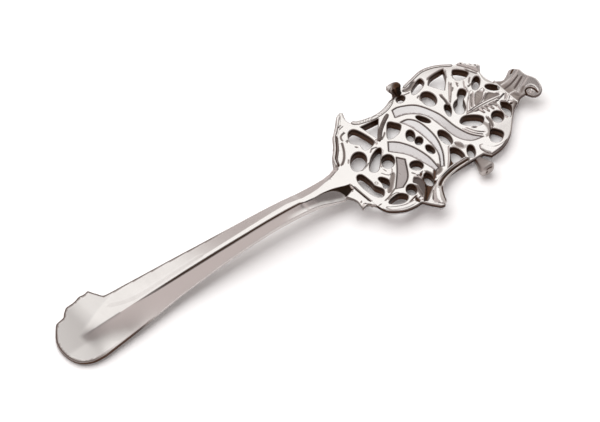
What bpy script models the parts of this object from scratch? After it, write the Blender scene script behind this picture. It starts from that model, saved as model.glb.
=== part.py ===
"""Absinthe spoon: a ridged handle soldered to a pierced, dished bowl with applied scroll ornament.

Sizes are in millimetres and become metres where a mesh is made. +X runs from the handle to the bowl's tip,
+Y to the spoon's left and +Z up from the table. The origin lies under the bowl, on the flat it rests on.
"""
import math

import bpy
from mathutils import Vector
from mathutils.geometry import delaunay_2d_cdt

MM = 0.001

# Overall sizes
BOWL_LENGTH = 69.0
BOWL_WIDTH = 47.0
HANDLE_LENGTH = 96.4
HANDLE_WIDTH = 20.7

# Sheet and solder
PLATE_THICKNESS = 1.5
FRET_THICKNESS = 0.9
SOLDER_GAP = 0.12
BOWL_THICKNESS = PLATE_THICKNESS + SOLDER_GAP + FRET_THICKNESS

# The dish: a flat oval in the middle, then a rim that rises in a curve
DISH_LENGTH = 70.0
DISH_WIDTH = 48.0
DISH_FLAT = 0.35
RIM_RISE = 2.0
TIP_RISE = 1.5
TIP_RISE_START = 24.0
TIP_RISE_REACH = 11.0

# The handle seen from the side
HANDLE_END_HEIGHT = 2.6
HANDLE_THICKNESS = 2.6
ARCH_RISE = 3.3
FACET_DROP = 1.2
RIDGE_FADE = 7.0

# Applied ornament: widths lie on the bowl, heights stand up from it, a swell is how far a top rounds inwards
LEAF_WIDTH = 1.7
LEAF_HEIGHT = 0.6
WIRE_WIDTH = 0.9
WIRE_HEIGHT = 0.5
RIB_WIDTH = 1.4
RIB_HEIGHT = 0.9
BAND_WIDTH = 2.0
BAND_HEIGHT = 0.5
VEIN_WIDTH = 1.3
VEIN_HEIGHT = 0.4
BEAD_END_SHARE = 0.35
BEAD_EDGE_SHARE = 0.33
LIP_HEIGHT = 0.7
LIP_SWELL = 1.2
SPRAY_EDGE = 0.3
SPRAY_HEIGHT = 0.6
SPRAY_RIB_REACH = 0.8
SHELL_HEIGHT = 0.9
SHELL_SWELL = 1.0
CAST_EDGE_SHARE = 0.33
TAB_HEIGHT = 0.3
TAB_SWELL = 1.0
VOLUTE_HEIGHT = 1.0
VOLUTE_SWELL = 2.4

# The two scroll knobs
KNOB_HEIGHT = 2.7
KNOB_FOOT_RADII = (1.9, 1.0)
KNOB_WAIST_RADIUS = 1.3
KNOB_TOP_RADIUS = 2.3
KNOB_CAP_RADIUS = 1.95
KNOB_WAIST_SHARE = 0.35
KNOB_TOP_SHARE = 0.75
KNOB_LEAN = (-0.5, 0.9)
CORNET_LENGTH = 5.6
CORNET_ROOT_RADIUS = 1.0
CORNET_MOUTH_RADIUS = 2.3
CORNET_FLARE = 1.4
CORNET_LIFT = 1.2
CORNET_LEAN = -1.2

# Drawing grid: the bowl is drawn 69 x 47 units about the dish's middle, the handle 96.4 x 20.7 from the neck
REST_X = 3.5
DRAWN_NECK_X = -34.5
DRAWN_TIP_JOINT_X = 25.4
DRAWN_KNOB_SEAT_Y = -13.6
BOWL_SCALE = (BOWL_LENGTH / 69.0, BOWL_WIDTH / 47.0)
HANDLE_SCALE = (HANDLE_LENGTH / 96.4, HANDLE_WIDTH / 20.7)

# How finely curves and surfaces are divided
PLATE_GRID = 3.0
HANDLE_GRID = 2.4
CAST_GRID = 1.0
CURVE_STEPS = 4
HOLE_STEPS = 16
BLOB_STEPS = 3
RING_STEPS = 18
CORNET_RINGS = 6
LINE_STEP = 1.5
MERGE_DISTANCE = 1e-5

POLISHED = ((0.86, 0.84, 0.83, 1.0), 0.12)
SATIN = ((0.78, 0.76, 0.77, 1.0), 0.45)


def on_bowl(x, y):
    """Place a point of the bowl's drawing."""
    return (x * BOWL_SCALE[0] - REST_X, y * BOWL_SCALE[1])


NECK_X = on_bowl(DRAWN_NECK_X, 0.0)[0]
KNOB_SEAT_Y = on_bowl(0.0, DRAWN_KNOB_SEAT_Y)[1]


def on_handle(x, y):
    """Place a point of the handle's drawing, whose x is measured on the same grid as the bowl's."""
    return (NECK_X - SOLDER_GAP + (x - DRAWN_NECK_X) * HANDLE_SCALE[0], y * HANDLE_SCALE[1])


def placed(loop, place=on_bowl):
    return [place(x, y) for x, y in loop]


def dish(x, y):
    """Height of the bowl's underside."""
    across = math.hypot((x + REST_X) / (DISH_LENGTH / 2), y / (DISH_WIDTH / 2))
    rim = max(0.0, across - DISH_FLAT) / (1.0 - DISH_FLAT)
    tip = max(0.0, x + REST_X - TIP_RISE_START) / TIP_RISE_REACH
    return RIM_RISE * rim ** 2 + TIP_RISE * tip ** 2


def plate_top(x, y):
    return dish(x, y) + PLATE_THICKNESS


def fret_low(x, y):
    return plate_top(x, y) + SOLDER_GAP


def fret_top(x, y):
    return dish(x, y) + BOWL_THICKNESS


def on_fret(x, y):
    """Height at which an ornament is soldered to the fret."""
    return fret_top(x, y) + SOLDER_GAP


def curve(points, steps=CURVE_STEPS):
    """Points along a smooth curve through the given points, both ends kept."""
    ends = [points[0]] + list(points) + [points[-1]]
    out = []
    for before, a, b, after in zip(ends, ends[1:], ends[2:], ends[3:]):
        for i in range(steps):
            t = i / steps
            out.append(tuple(
                a[k] + 0.5 * t * (b[k] - before[k]
                + t * (2 * before[k] - 5 * a[k] + 4 * b[k] - after[k]
                + t * (3 * (a[k] - b[k]) + after[k] - before[k])))
                for k in (0, 1)))
    return out + [tuple(points[-1])]


def outline(*runs):
    """One closed loop of runs that meet in corners, each end being the next run's start."""
    loop = []
    for run in runs:
        loop += (curve(run) if len(run) > 2 else run)[:-1]
    return loop


def egg(x, y, length, width, angle, taper=0.0):
    """An oval hole: its blunt end lies at the angle, in degrees, when the taper is positive."""
    turn = math.radians(angle)
    loop = []
    for i in range(HOLE_STEPS):
        t = 2 * math.pi * i / HOLE_STEPS
        along = length / 2 * math.cos(t)
        across = width / 2 * math.sin(t) * (1 + taper * math.cos(t))
        loop.append((x + along * math.cos(turn) - across * math.sin(turn),
                     y + along * math.sin(turn) + across * math.cos(turn)))
    return loop


def blob(*points):
    """A closed smooth hole through the given points."""
    wrapped = [points[-1]] + list(points) + list(points[:2])
    return curve(wrapped, BLOB_STEPS)[BLOB_STEPS:-BLOB_STEPS - 1]


def stations(start, end):
    """Evenly spaced points from start to end."""
    count = math.ceil(math.dist(start, end) / LINE_STEP)
    return [tuple(a + (b - a) * i / count for a, b in zip(start, end)) for i in range(count + 1)]


def strip(points, width):
    """Outline and middle line of a strip along a curve on the bowl; its ends are narrowed."""
    line = placed(curve(points))
    left, right = [], []
    for i, (x, y) in enumerate(line):
        ax, ay = line[max(i - 1, 0)]
        bx, by = line[min(i + 1, len(line) - 1)]
        length = math.hypot(bx - ax, by - ay)
        at_end = i in (0, len(line) - 1)
        half = width / 2 * (BEAD_END_SHARE if at_end else 1.0)
        nx, ny = -(by - ay) / length * half, (bx - ax) / length * half
        left.append((x + nx, y + ny))
        right.append((x - nx, y - ny))
    return right + left[::-1], line[1:-1]


def off_line(x, y, line):
    """Distance from a point to an open line."""
    best = math.inf
    for (ax, ay), (bx, by) in zip(line, line[1:]):
        dx, dy = bx - ax, by - ay
        t = ((x - ax) * dx + (y - ay) * dy) / (dx * dx + dy * dy)
        t = min(1.0, max(0.0, t))
        best = min(best, math.hypot(x - ax - t * dx, y - ay - t * dy))
    return best


def off_loops(x, y, loops):
    """Distance from a point to the nearest side of closed loops."""
    return min(off_line(x, y, loop + loop[:1]) for loop in loops)


def level_at(line, x):
    """How far across the handle a line stands at x; the line's points run towards -X."""
    for (ax, ay), (bx, by) in zip(line, line[1:]):
        if bx <= x <= ax:
            return ay + (by - ay) * (x - ax) / (bx - ax)
    return line[0][1] if x > line[0][0] else line[-1][1]


def inside(x, y, loops):
    """Whether a point lies in the first loop and in none of the others."""
    odd = False
    for loop in loops:
        for (ax, ay), (bx, by) in zip(loop, loop[1:] + loop[:1]):
            if (ay > y) != (by > y) and x < ax + (y - ay) * (bx - ax) / (by - ay):
                odd = not odd
    return odd


def middle_of(corners):
    return (sum(c.x for c in corners) / len(corners), sum(c.y for c in corners) / len(corners))


def grid_points(loops, creases, step):
    """Inner points on a grid, clear of the loops and of the crease points."""
    xs = [x for x, _ in loops[0]]
    ys = [y for _, y in loops[0]]
    clear = 0.4 * step
    points = []
    for i in range(int((max(xs) - min(xs)) / step) + 1):
        for j in range(int((max(ys) - min(ys)) / step) + 1):
            x, y = min(xs) + (i + 0.5) * step, min(ys) + (j + 0.5) * step
            near_crease = any(math.hypot(x - a, y - b) < clear for a, b in creases)
            if not near_crease and inside(x, y, loops) and off_loops(x, y, loops) > clear:
                points.append((x, y))
    return points


def finish_object(name, vertices, faces, finish):
    """Make a named, closed mesh object with its own metal."""
    mesh = bpy.data.meshes.new(name)
    mesh.from_pydata([[c * MM for c in v] for v in vertices], [], faces)
    mesh.shade_smooth()
    mesh.set_sharp_from_angle(angle=math.radians(30))
    colour, roughness = finish
    material = bpy.data.materials.new(name)
    material.use_nodes = True
    shader = material.node_tree.nodes["Principled BSDF"]
    shader.inputs["Base Color"].default_value = colour
    shader.inputs["Roughness"].default_value = roughness
    shader.inputs["Metallic"].default_value = 1.0
    mesh.materials.append(material)
    piece = bpy.data.objects.new(name, mesh)
    bpy.context.scene.collection.objects.link(piece)


def relief(name, loops, low, high, finish, creases=(), step=None):
    """A closed body between two height surfaces, inside an outline and around holes."""
    points, sides = [], []
    for loop in loops:
        ring = range(len(points), len(points) + len(loop))
        points += loop
        sides += list(zip(ring, list(ring)[1:] + [ring[0]]))
    points += list(creases)
    if step:
        points += grid_points(loops, creases, step)
    flat, _, triangles, _, _, _ = delaunay_2d_cdt([Vector(p) for p in points], sides, [], 1, MERGE_DISTANCE)
    triangles = [t for t in triangles if inside(*middle_of([flat[v] for v in t]), loops)]
    count = len(flat)
    vertices = [(x, y, high(x, y)) for x, y in flat] + [(x, y, low(x, y)) for x, y in flat]
    faces = [tuple(t) for t in triangles]
    faces += [tuple(count + v for v in reversed(t)) for t in triangles]
    directed = {(t[i], t[i - 2]) for t in triangles for i in range(3)}
    for a, b in sorted(directed):
        if (b, a) not in directed:
            faces.append((count + a, count + b, b, a))
    finish_object(name, vertices, faces, finish)


def bead(name, points, width, height):
    """A gabled strip soldered on the fret along a curve."""
    border, middle = strip(points, width)

    def top(x, y):
        share = min(1.0, off_line(x, y, middle) / (width / 2))
        return on_fret(x, y) + height * (1.0 - (1.0 - BEAD_EDGE_SHARE) * share)

    relief(name, [border], on_fret, top, POLISHED, middle)


def domed(name, border, low, edge_height, height, swell):
    """A cast piece whose top swells from its border inwards."""
    def top(x, y):
        share = min(1.0, off_loops(x, y, [border]) / swell)
        return low(x, y) + edge_height + (height - edge_height) * share * (2 - share)

    relief(name, [border], low, top, POLISHED, step=CAST_GRID)


def ellipse(centre, u, v):
    """Points of an ellipse around a centre, spanned by two half axes."""
    points = []
    for i in range(RING_STEPS):
        t = 2 * math.pi * i / RING_STEPS
        points.append(tuple(c + a * math.cos(t) + b * math.sin(t) for c, a, b in zip(centre, u, v)))
    return points


def loft(name, rings, finish):
    """A closed round body through rings of equally many points, each ring running counter-clockwise."""
    count = len(rings[0])
    vertices = [p for ring in rings for p in ring]
    faces = []
    for k in range(len(rings) - 1):
        for i in range(count):
            j = (i + 1) % count
            a, b = k * count, (k + 1) * count
            faces.append((a + i, a + j, b + j, b + i))
    faces.append(tuple(reversed(range(count))))
    faces.append(tuple(range((len(rings) - 1) * count, len(rings) * count)))
    finish_object(name, vertices, faces, finish)


# Openings through both plates, drawn as seen from above: neck side first, tip last
HOLES = [
    egg(-27.1, 5.4, 8.2, 5.0, 38, 0.12),
    blob((-26.3, 0.5), (-25.4, -0.6), (-23.6, 0.0), (-20.6, 3.0),
         (-18.0, 5.9), (-19.0, 6.4), (-22.2, 4.9), (-24.8, 2.6)),
    egg(-19.6, 0.8, 5.6, 3.7, 45),
    blob((-22.2, 8.1), (-19.6, 8.2), (-17.8, 9.6), (-18.7, 13.7),
         (-20.1, 16.0), (-22.4, 15.4), (-24.0, 12.4), (-22.2, 10.4)),
    outline([(-17.6, 15.7), (-11.2, 15.6)],
            [(-11.2, 15.6), (-16.1, 9.9)],
            [(-16.1, 9.9), (-16.9, 12.6), (-17.6, 15.7)]),
    blob((-13.7, 7.7), (-10.2, 7.8), (-7.4, 9.9), (-8.2, 11.7), (-9.6, 12.8), (-11.6, 11.0)),
    egg(-7.8, 5.0, 4.6, 2.5, 55),
    egg(-7.2, 1.9, 3.3, 2.2, 45),
    egg(-6.8, -2.7, 3.8, 2.1, 80),
    egg(-0.6, 7.9, 4.7, 1.9, 112),
    egg(-0.3, -1.6, 6.4, 3.1, 80),
    blob((-5.0, -10.7), (-2.8, -11.4), (-0.8, -10.8), (-0.3, -8.0), (-1.2, -6.1), (-2.8, -6.7)),
    egg(1.9, -10.5, 5.3, 2.3, 55),
    egg(-14.1, -5.3, 3.8, 3.8, 0),
    egg(-14.9, -11.7, 5.2, 2.7, 66),
    blob((-32.5, -2.6), (-31.2, 0.5), (-29.4, 0.5), (-29.0, -3.0),
         (-29.2, -5.0), (-28.3, -7.8), (-30.6, -10.1), (-32.3, -8.2)),
    blob((-26.6, -3.5), (-25.4, -3.2), (-24.4, -5.2), (-25.6, -7.2), (-27.6, -7.6), (-26.9, -5.6)),
    blob((-31.0, -13.8), (-29.2, -12.3), (-25.8, -11.7), (-24.4, -13.4), (-25.8, -15.2), (-28.4, -15.6)),
    egg(-21.9, -12.4, 5.0, 3.0, 52),
    egg(-0.8, 18.0, 3.2, 2.2, 20),
    blob((3.5, 17.2), (6.2, 17.5), (8.6, 18.7), (8.9, 20.7), (6.2, 20.0), (4.0, 18.7)),
    outline([(9.3, 17.4), (11.8, 19.3), (16.6, 19.5)],
            [(16.6, 19.5), (15.2, 16.6), (11.9, 13.2)],
            [(11.9, 13.2), (9.3, 17.4)]),
    blob((18.8, 17.5), (21.7, 14.4), (20.0, 13.1), (17.1, 14.1)),
    egg(21.0, 9.6, 5.2, 2.2, 42),
    egg(23.7, 5.3, 4.3, 2.2, 128),
    egg(6.0, 13.3, 5.8, 4.3, 78),
    egg(7.6, 6.3, 5.0, 1.8, 60, 0.35),
    blob((8.8, 4.0), (10.0, 2.8), (12.0, 3.9), (14.0, 6.6),
         (16.7, 9.0), (15.8, 10.7), (13.2, 9.0), (10.2, 6.7)),
    blob((7.0, 0.2), (9.6, 1.6), (12.8, -0.2), (13.7, -2.3), (11.2, -4.0), (8.4, -2.2)),
    egg(17.2, -4.5, 4.7, 3.5, 55),
    blob((21.8, -0.7), (23.1, -3.6), (19.8, -7.0), (20.2, -3.6)),
    blob((12.2, -7.3), (13.7, -8.6), (13.9, -10.8), (11.0, -12.6), (9.3, -10.9)),
]

# Windows of the fret that show the satin ground: the S-shaped, crescent, leaf and short bands
BANDS = [
    outline([(-5.7, 15.9), (-6.8, 13.2)],
            [(-6.8, 13.2), (-2.6, 12.1), (1.1, 8.6), (1.9, 2.5), (2.4, -3.4), (4.7, -7.1), (8.6, -8.1)],
            [(8.6, -8.1), (6.2, -4.8), (4.9, 0.0), (4.4, 7.0), (1.6, 13.2), (-3.0, 15.8), (-5.7, 15.9)]),
    outline([(-6.7, 10.9), (-5.3, 7.4), (-4.9, 1.2), (-5.9, -5.0), (-9.0, -9.8)],
            [(-9.0, -9.8), (-8.0, -10.3)],
            [(-8.0, -10.3), (-4.5, -5.4), (-2.3, 0.6), (-2.2, 7.3), (-4.0, 10.4), (-6.7, 10.9)]),
    outline([(-14.6, 6.9), (-16.9, 3.8)],
            [(-16.9, 3.8), (-13.4, -0.3), (-11.7, -5.6), (-11.0, -10.2)],
            [(-11.0, -10.2), (-9.7, -9.9)],
            [(-9.7, -9.9), (-9.1, -5.0), (-10.0, 0.6), (-12.1, 4.8), (-14.6, 6.9)]),
    outline([(-16.6, 0.7), (-20.2, -4.0), (-25.2, -9.4)],
            [(-25.2, -9.4), (-23.2, -10.2)],
            [(-23.2, -10.2), (-19.0, -7.4), (-15.1, -1.4)],
            [(-15.1, -1.4), (-16.6, 0.7)]),
]


def bowl_border():
    """The bowl's rim, counter-clockwise from the neck: lower rim, tip joint, upper rim, scalloped edge."""
    neck, tip, seat = DRAWN_NECK_X, DRAWN_TIP_JOINT_X, DRAWN_KNOB_SEAT_Y
    return outline(
        [(neck, -12.6), (-33.6, -16.2), (-30.0, -18.6), (-26.5, -19.1), (-23.2, -18.7)],
        [(-23.2, -18.7), (-21.9, -21.4), (-20.6, -23.6)],
        [(-20.6, -23.6), (-19.4, -23.9), (-18.4, -23.0)],
        [(-18.4, -23.0), (-16.4, -18.9), (-13.6, -15.6), (-8.0, -13.9), (-0.4, seat)],
        [(-0.4, seat), (4.0, seat)],
        [(4.0, seat), (5.2, -15.7)],
        [(5.2, -15.7), (10.0, -15.1), (15.0, -12.6), (20.0, -8.0), (23.4, -5.0), (tip, -3.9)],
        [(tip, -3.9), (tip, 6.9)],
        [(tip, 6.9), (24.6, 9.6), (24.8, 12.0)],
        [(24.8, 12.0), (26.4, 14.1)],
        [(26.4, 14.1), (23.4, 17.1), (22.3, 18.6), (20.7, 18.9)],
        [(20.7, 18.9), (16.0, 21.8), (11.0, 23.1), (6.0, 22.1), (2.4, 21.3)],
        [(2.4, 21.3), (0.0, 21.6), (-2.6, 20.0)],
        [(-2.6, 20.0), (-6.0, 18.1), (-11.5, 17.2), (-16.0, 17.6), (-19.2, 18.9)],
        [(-19.2, 18.9), (-19.4, 20.4), (-18.6, 22.8)],
        [(-18.6, 22.8), (-19.6, 23.2), (-22.0, 21.5), (-25.2, 17.6)],
        [(-25.2, 17.6), (-27.0, 16.5), (-28.6, 13.9)],
        [(-28.6, 13.9), (-30.0, 13.0), (-31.2, 10.9)],
        [(-31.2, 10.9), (-32.6, 10.0), (neck, 6.9)],
        [(neck, 6.9), (neck, -12.6)])


def bowl_pieces():
    border = placed(bowl_border())
    holes = [placed(hole) for hole in HOLES]
    windows = [placed(band) for band in BANDS]
    relief("bowl_plate", [border] + holes, dish, plate_top, SATIN, step=PLATE_GRID)
    relief("fret", [border] + holes + windows, fret_low, fret_top, POLISHED, step=PLATE_GRID)


# The handle's border, counter-clockwise from the neck's left corner: straight left edge, scalloped
# shoulder, round end, smooth right edge and the foot that the heel tab lies against
HANDLE_LEFT = [(DRAWN_NECK_X, 7.1), (-40.0, 5.3), (-50.0, 4.4), (-60.0, 4.7), (-70.0, 5.3),
               (-80.0, 6.0), (-90.0, 6.9), (-101.0, 7.9), (-112.3, 8.9)]
HANDLE_SHOULDER = [
    [(-112.3, 8.9), (-113.6, 10.8), (-114.4, 12.6)],
    [(-114.4, 12.6), (-116.0, 12.1), (-117.5, 12.4)],
    [(-117.5, 12.4), (-119.6, 11.6), (-122.2, 11.5)],
    [(-122.2, 11.5), (-123.6, 10.3), (-124.6, 9.0)],
    [(-124.6, 9.0), (-127.4, 8.5)],
]
HANDLE_END = [(-127.4, 8.5), (-130.2, 4.0), (-130.9, -0.6), (-129.6, -5.2), (-126.4, -7.6), (-122.5, -8.1)]
HANDLE_RIGHT = [(-122.5, -8.1), (-110.0, -6.5), (-102.0, -5.3), (-95.0, -4.4), (-87.0, -3.8), (-80.0, -3.4),
                (-70.0, -3.1), (-60.0, -2.9), (-48.0, -3.2), (-43.0, -4.0), (-39.2, -4.6)]
HANDLE_FOOT = [(-39.2, -4.6), (DRAWN_NECK_X, -2.4)]
RIDGE_START = (-124.0, 0.0)
RIDGE_SPLIT = (-52.0, 0.0)

# The flat facet that the ridge opens into, from the neck back to the split
FACET_LEFT = [(DRAWN_NECK_X, 6.6), (-39.0, 4.6), (-42.5, 3.0), (-47.0, 1.5), RIDGE_SPLIT]
FACET_RIGHT = [(DRAWN_NECK_X, -0.6), (-42.5, -0.6), (-47.0, -0.5), RIDGE_SPLIT]


def arch(x):
    """Height of the handle's ridge: a line from the end to the bowl and a rise, fullest near the neck."""
    neck_height = fret_top(NECK_X, 0.0)
    share = min(1.0, max(0.0, 1.0 + (x - NECK_X) / HANDLE_LENGTH))
    line = HANDLE_END_HEIGHT + (neck_height - HANDLE_END_HEIGHT) * share
    return line + ARCH_RISE * math.sin(math.pi * share ** 2)


def handle_piece():
    """Two facets fall from the ridge to the edges; the end is a flat pad."""
    neck = [HANDLE_FOOT[-1], FACET_RIGHT[0], FACET_LEFT[0], HANDLE_LEFT[0]]
    drawn = outline(HANDLE_LEFT, *HANDLE_SHOULDER, HANDLE_END, HANDLE_RIGHT, HANDLE_FOOT, neck)
    border = placed(drawn, on_handle)
    left_edge = placed(curve(HANDLE_LEFT), on_handle)
    right_edge = placed(HANDLE_FOOT[::-1] + curve(HANDLE_RIGHT)[-2::-1], on_handle)
    left_crest = placed(curve(FACET_LEFT), on_handle)
    right_crest = placed(curve(FACET_RIGHT), on_handle)
    ridge = placed(stations(RIDGE_START, RIDGE_SPLIT), on_handle)
    ridge_start = ridge[0][0]

    def top(x, y):
        to_left = (y - level_at(left_crest, x)) / (level_at(left_edge, x) - level_at(left_crest, x))
        to_right = (y - level_at(right_crest, x)) / (level_at(right_edge, x) - level_at(right_crest, x))
        drop_share = min(1.0, max(0.0, to_left, to_right))
        rise = FACET_DROP * min(1.0, max(0.0, (x - ridge_start) / RIDGE_FADE))
        return arch(x) - FACET_DROP + rise * (1.0 - drop_share)

    def low(x, y):
        return arch(x) - HANDLE_THICKNESS

    creases = ridge + left_crest[1:-1] + right_crest[1:-1]
    relief("handle", [border], low, top, POLISHED, creases, HANDLE_GRID)


def heel_tab():
    """The tab's upper edge lies along the handle's foot and its right edge along the plate."""
    foot_out, foot_in = (Vector(p) for p in placed(HANDLE_FOOT, on_handle))
    along = foot_in - foot_out
    aside = Vector((along.y, -along.x)).normalized() * SOLDER_GAP
    rim = placed(curve([(-38.2, -6.8), (-38.0, -8.4), (-38.6, -11.3), (-36.2, -10.8), (-34.9, -12.2)]))
    slit_x = NECK_X - SOLDER_GAP
    border = [tuple(foot_out + aside)] + rim + [(slit_x, rim[-1][1]), (slit_x, (foot_in + aside).y)]
    domed("heel_tab", border, dish, BOWL_THICKNESS, BOWL_THICKNESS + TAB_HEIGHT, TAB_SWELL)


def tip_volute():
    """The fluted tip rolls into a spiral at its lower corner; it is as thick as plate and fret together."""
    start = DRAWN_TIP_JOINT_X
    border = placed(outline(
        [(start, -3.9), (27.2, -3.3), (28.9, -3.4)],
        [(28.9, -3.4), (29.8, -5.8), (31.5, -6.6), (33.4, -5.3), (34.4, -1.6), (33.5, 1.8), (33.4, 4.5)],
        [(33.4, 4.5), (32.4, 6.0), (31.2, 6.8)],
        [(31.2, 6.8), (27.8, 5.3), (start, 6.9)],
        [(start, 6.9), (start, -3.9)]))
    border = [(x + SOLDER_GAP, y) for x, y in border]
    domed("tip_volute", border, dish, BOWL_THICKNESS, BOWL_THICKNESS + VOLUTE_HEIGHT, VOLUTE_SWELL)


def shell_crest():
    border = placed(outline(
        [(20.9, 18.3), (21.9, 16.7), (23.0, 14.8), (23.9, 12.7)],
        [(23.9, 12.7), (24.6, 12.6), (25.9, 14.2)],
        [(25.9, 14.2), (24.6, 15.4), (24.0, 16.2)],
        [(24.0, 16.2), (23.2, 16.8), (22.5, 18.0)],
        [(22.5, 18.0), (21.8, 18.4), (20.9, 18.3)]))
    domed("shell_crest", border, on_fret, SHELL_HEIGHT * CAST_EDGE_SHARE, SHELL_HEIGHT, SHELL_SWELL)


def lip_scroll():
    border = placed(outline(
        [(5.4, -10.0), (4.5, -11.4), (4.6, -13.4), (5.6, -15.3)],
        [(5.6, -15.3), (9.8, -14.8), (13.6, -13.2)],
        [(13.6, -13.2), (10.6, -13.6), (8.4, -13.0), (7.4, -11.4), (6.6, -10.2), (5.4, -10.0)]))
    domed("lip_scroll", border, on_fret, LIP_HEIGHT * CAST_EDGE_SHARE, LIP_HEIGHT, LIP_SWELL)


# Midrib and side ribs of the leaf spray
SPRAY_RIBS = [
    [(12.0, 1.7), (22.5, 1.1)],
    [(13.2, 3.2), (16.8, 7.0)],
    [(15.6, 2.9), (18.9, 5.6)],
    [(18.6, 2.7), (20.6, 3.7)],
]


def leaf_spray():
    """A leaf with a midrib towards the tip, fronds to the left and short teeth to the right."""
    border = placed(outline(
        [(10.6, 1.8), (14.6, 0.9)],
        [(14.6, 0.9), (15.4, -1.2), (16.0, 0.5)],
        [(16.0, 0.5), (16.9, -1.6), (17.6, 0.3)],
        [(17.6, 0.3), (18.5, -1.7), (19.2, 0.1)],
        [(19.2, 0.1), (20.0, -1.6), (20.8, 0.2)],
        [(20.8, 0.2), (23.0, 0.5), (24.9, 1.0)],
        [(24.9, 1.0), (24.2, 2.6), (22.6, 3.2)],
        [(22.6, 3.2), (21.6, 5.2), (21.4, 7.0)],
        [(21.4, 7.0), (18.3, 6.9)],
        [(18.3, 6.9), (17.7, 8.4), (14.2, 5.7), (11.4, 2.6)],
        [(11.4, 2.6), (10.6, 1.8)]))
    ribs = [placed(rib) for rib in SPRAY_RIBS]

    def top(x, y):
        share = max(0.0, 1.0 - min(off_line(x, y, rib) for rib in ribs) / SPRAY_RIB_REACH)
        return on_fret(x, y) + SPRAY_EDGE + (SPRAY_HEIGHT - SPRAY_EDGE) * share

    creases = [point for rib in ribs for point in stations(*rib)]
    relief("leaf_spray", [border], on_fret, top, POLISHED, creases)


def upper_knob():
    """A waisted scroll that stands on the upper rim and leans a little outwards."""
    x, y = on_bowl(-0.4, 20.2)
    foot_x, foot_y = KNOB_FOOT_RADII
    flat_foot = ellipse((x, y, 0.0), (foot_x, 0.0, 0.0), (0.0, foot_y, 0.0))
    foot = [(px, py, on_fret(px, py)) for px, py, _ in flat_foot]
    base = max(z for _, _, z in foot)
    rings = [foot]
    for share, radius in (
            (KNOB_WAIST_SHARE, KNOB_WAIST_RADIUS), (KNOB_TOP_SHARE, KNOB_TOP_RADIUS), (1.0, KNOB_CAP_RADIUS)):
        centre = (x + KNOB_LEAN[0] * share, y + KNOB_LEAN[1] * share, base + KNOB_HEIGHT * share)
        rings.append(ellipse(centre, (radius, 0.0, 0.0), (0.0, radius, 0.0)))
    loft("upper_knob", rings, POLISHED)


def lower_knob():
    """A cornet that starts at the seat in the lower rim and widens outwards to its mouth."""
    x, _ = on_bowl(1.8, 0.0)
    start = KNOB_SEAT_Y - SOLDER_GAP
    middle = dish(x, start) + BOWL_THICKNESS / 2
    rings = []
    for i in range(CORNET_RINGS):
        share = i / (CORNET_RINGS - 1)
        radius = CORNET_ROOT_RADIUS + (CORNET_MOUTH_RADIUS - CORNET_ROOT_RADIUS) * share ** CORNET_FLARE
        centre = (x + CORNET_LEAN * share, start - CORNET_LENGTH * share, middle + CORNET_LIFT * share)
        rings.append(ellipse(centre, (radius, 0.0, 0.0), (0.0, 0.0, radius)))
    loft("lower_knob", rings, POLISHED)


def ornaments():
    bead("horn_leaf",
         [(-33.2, 7.6), (-31.4, 9.6), (-29.0, 12.2), (-26.6, 15.2), (-23.6, 18.6), (-20.3, 22.0)],
         LEAF_WIDTH, LEAF_HEIGHT)
    bead("left_rim_wire",
         [(-18.4, 18.0), (-16.0, 17.0), (-11.5, 16.6), (-7.0, 17.2), (-3.2, 18.8)],
         WIRE_WIDTH, WIRE_HEIGHT)
    bead("top_rim_wire",
         [(3.0, 20.8), (6.5, 21.7), (11.0, 22.5), (15.5, 21.4), (19.6, 18.9)],
         WIRE_WIDTH, WIRE_HEIGHT)
    bead("rim_rib",
         [(-19.4, -23.0), (-17.8, -19.5), (-14.6, -15.8), (-10.0, -13.6), (-5.0, -12.9), (-0.6, -12.5)],
         RIB_WIDTH, RIB_HEIGHT)
    bead("curl_scroll",
         [(-33.6, -13.9), (-32.0, -16.0), (-28.6, -17.4), (-25.6, -17.3), (-23.6, -16.4)],
         BAND_WIDTH, BAND_HEIGHT)
    bead("centre_vein",
         [(-16.4, 8.6), (-13.4, 11.7), (-10.2, 14.0), (-7.8, 15.3)],
         VEIN_WIDTH, VEIN_HEIGHT)
    shell_crest()
    lip_scroll()
    leaf_spray()
    upper_knob()
    lower_knob()


def build():
    for old in list(bpy.data.objects):
        bpy.data.objects.remove(old)
    handle_piece()
    bowl_pieces()
    heel_tab()
    tip_volute()
    ornaments()


build()
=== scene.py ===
"""Absinthe spoon in polished silver: a ridged handle and a pierced, dished bowl with applied ornament."""
import math

import bmesh
import bpy
import numpy as np
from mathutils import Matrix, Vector
from mathutils.geometry import delaunay_2d_cdt
from mathutils.kdtree import KDTree


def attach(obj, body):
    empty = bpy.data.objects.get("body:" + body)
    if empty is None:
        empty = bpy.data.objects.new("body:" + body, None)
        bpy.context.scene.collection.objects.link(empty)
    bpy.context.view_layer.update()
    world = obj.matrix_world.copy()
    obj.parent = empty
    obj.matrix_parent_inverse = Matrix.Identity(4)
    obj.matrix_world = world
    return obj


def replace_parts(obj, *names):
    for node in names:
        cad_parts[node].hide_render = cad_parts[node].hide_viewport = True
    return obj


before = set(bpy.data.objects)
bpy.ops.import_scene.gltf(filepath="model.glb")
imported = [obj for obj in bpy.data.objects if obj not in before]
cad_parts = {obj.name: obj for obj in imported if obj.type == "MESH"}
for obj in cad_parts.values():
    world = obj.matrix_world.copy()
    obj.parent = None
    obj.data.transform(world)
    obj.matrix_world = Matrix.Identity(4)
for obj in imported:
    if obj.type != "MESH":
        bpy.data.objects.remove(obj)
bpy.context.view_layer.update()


# Ground plate: a sheet of silver, pierced with drip holes and sunk into a shallow dish. Its top is left
# satin with a fine cross grain and shows in four bands; the polished fret is soldered over the rest.
MM = 0.001
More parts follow.
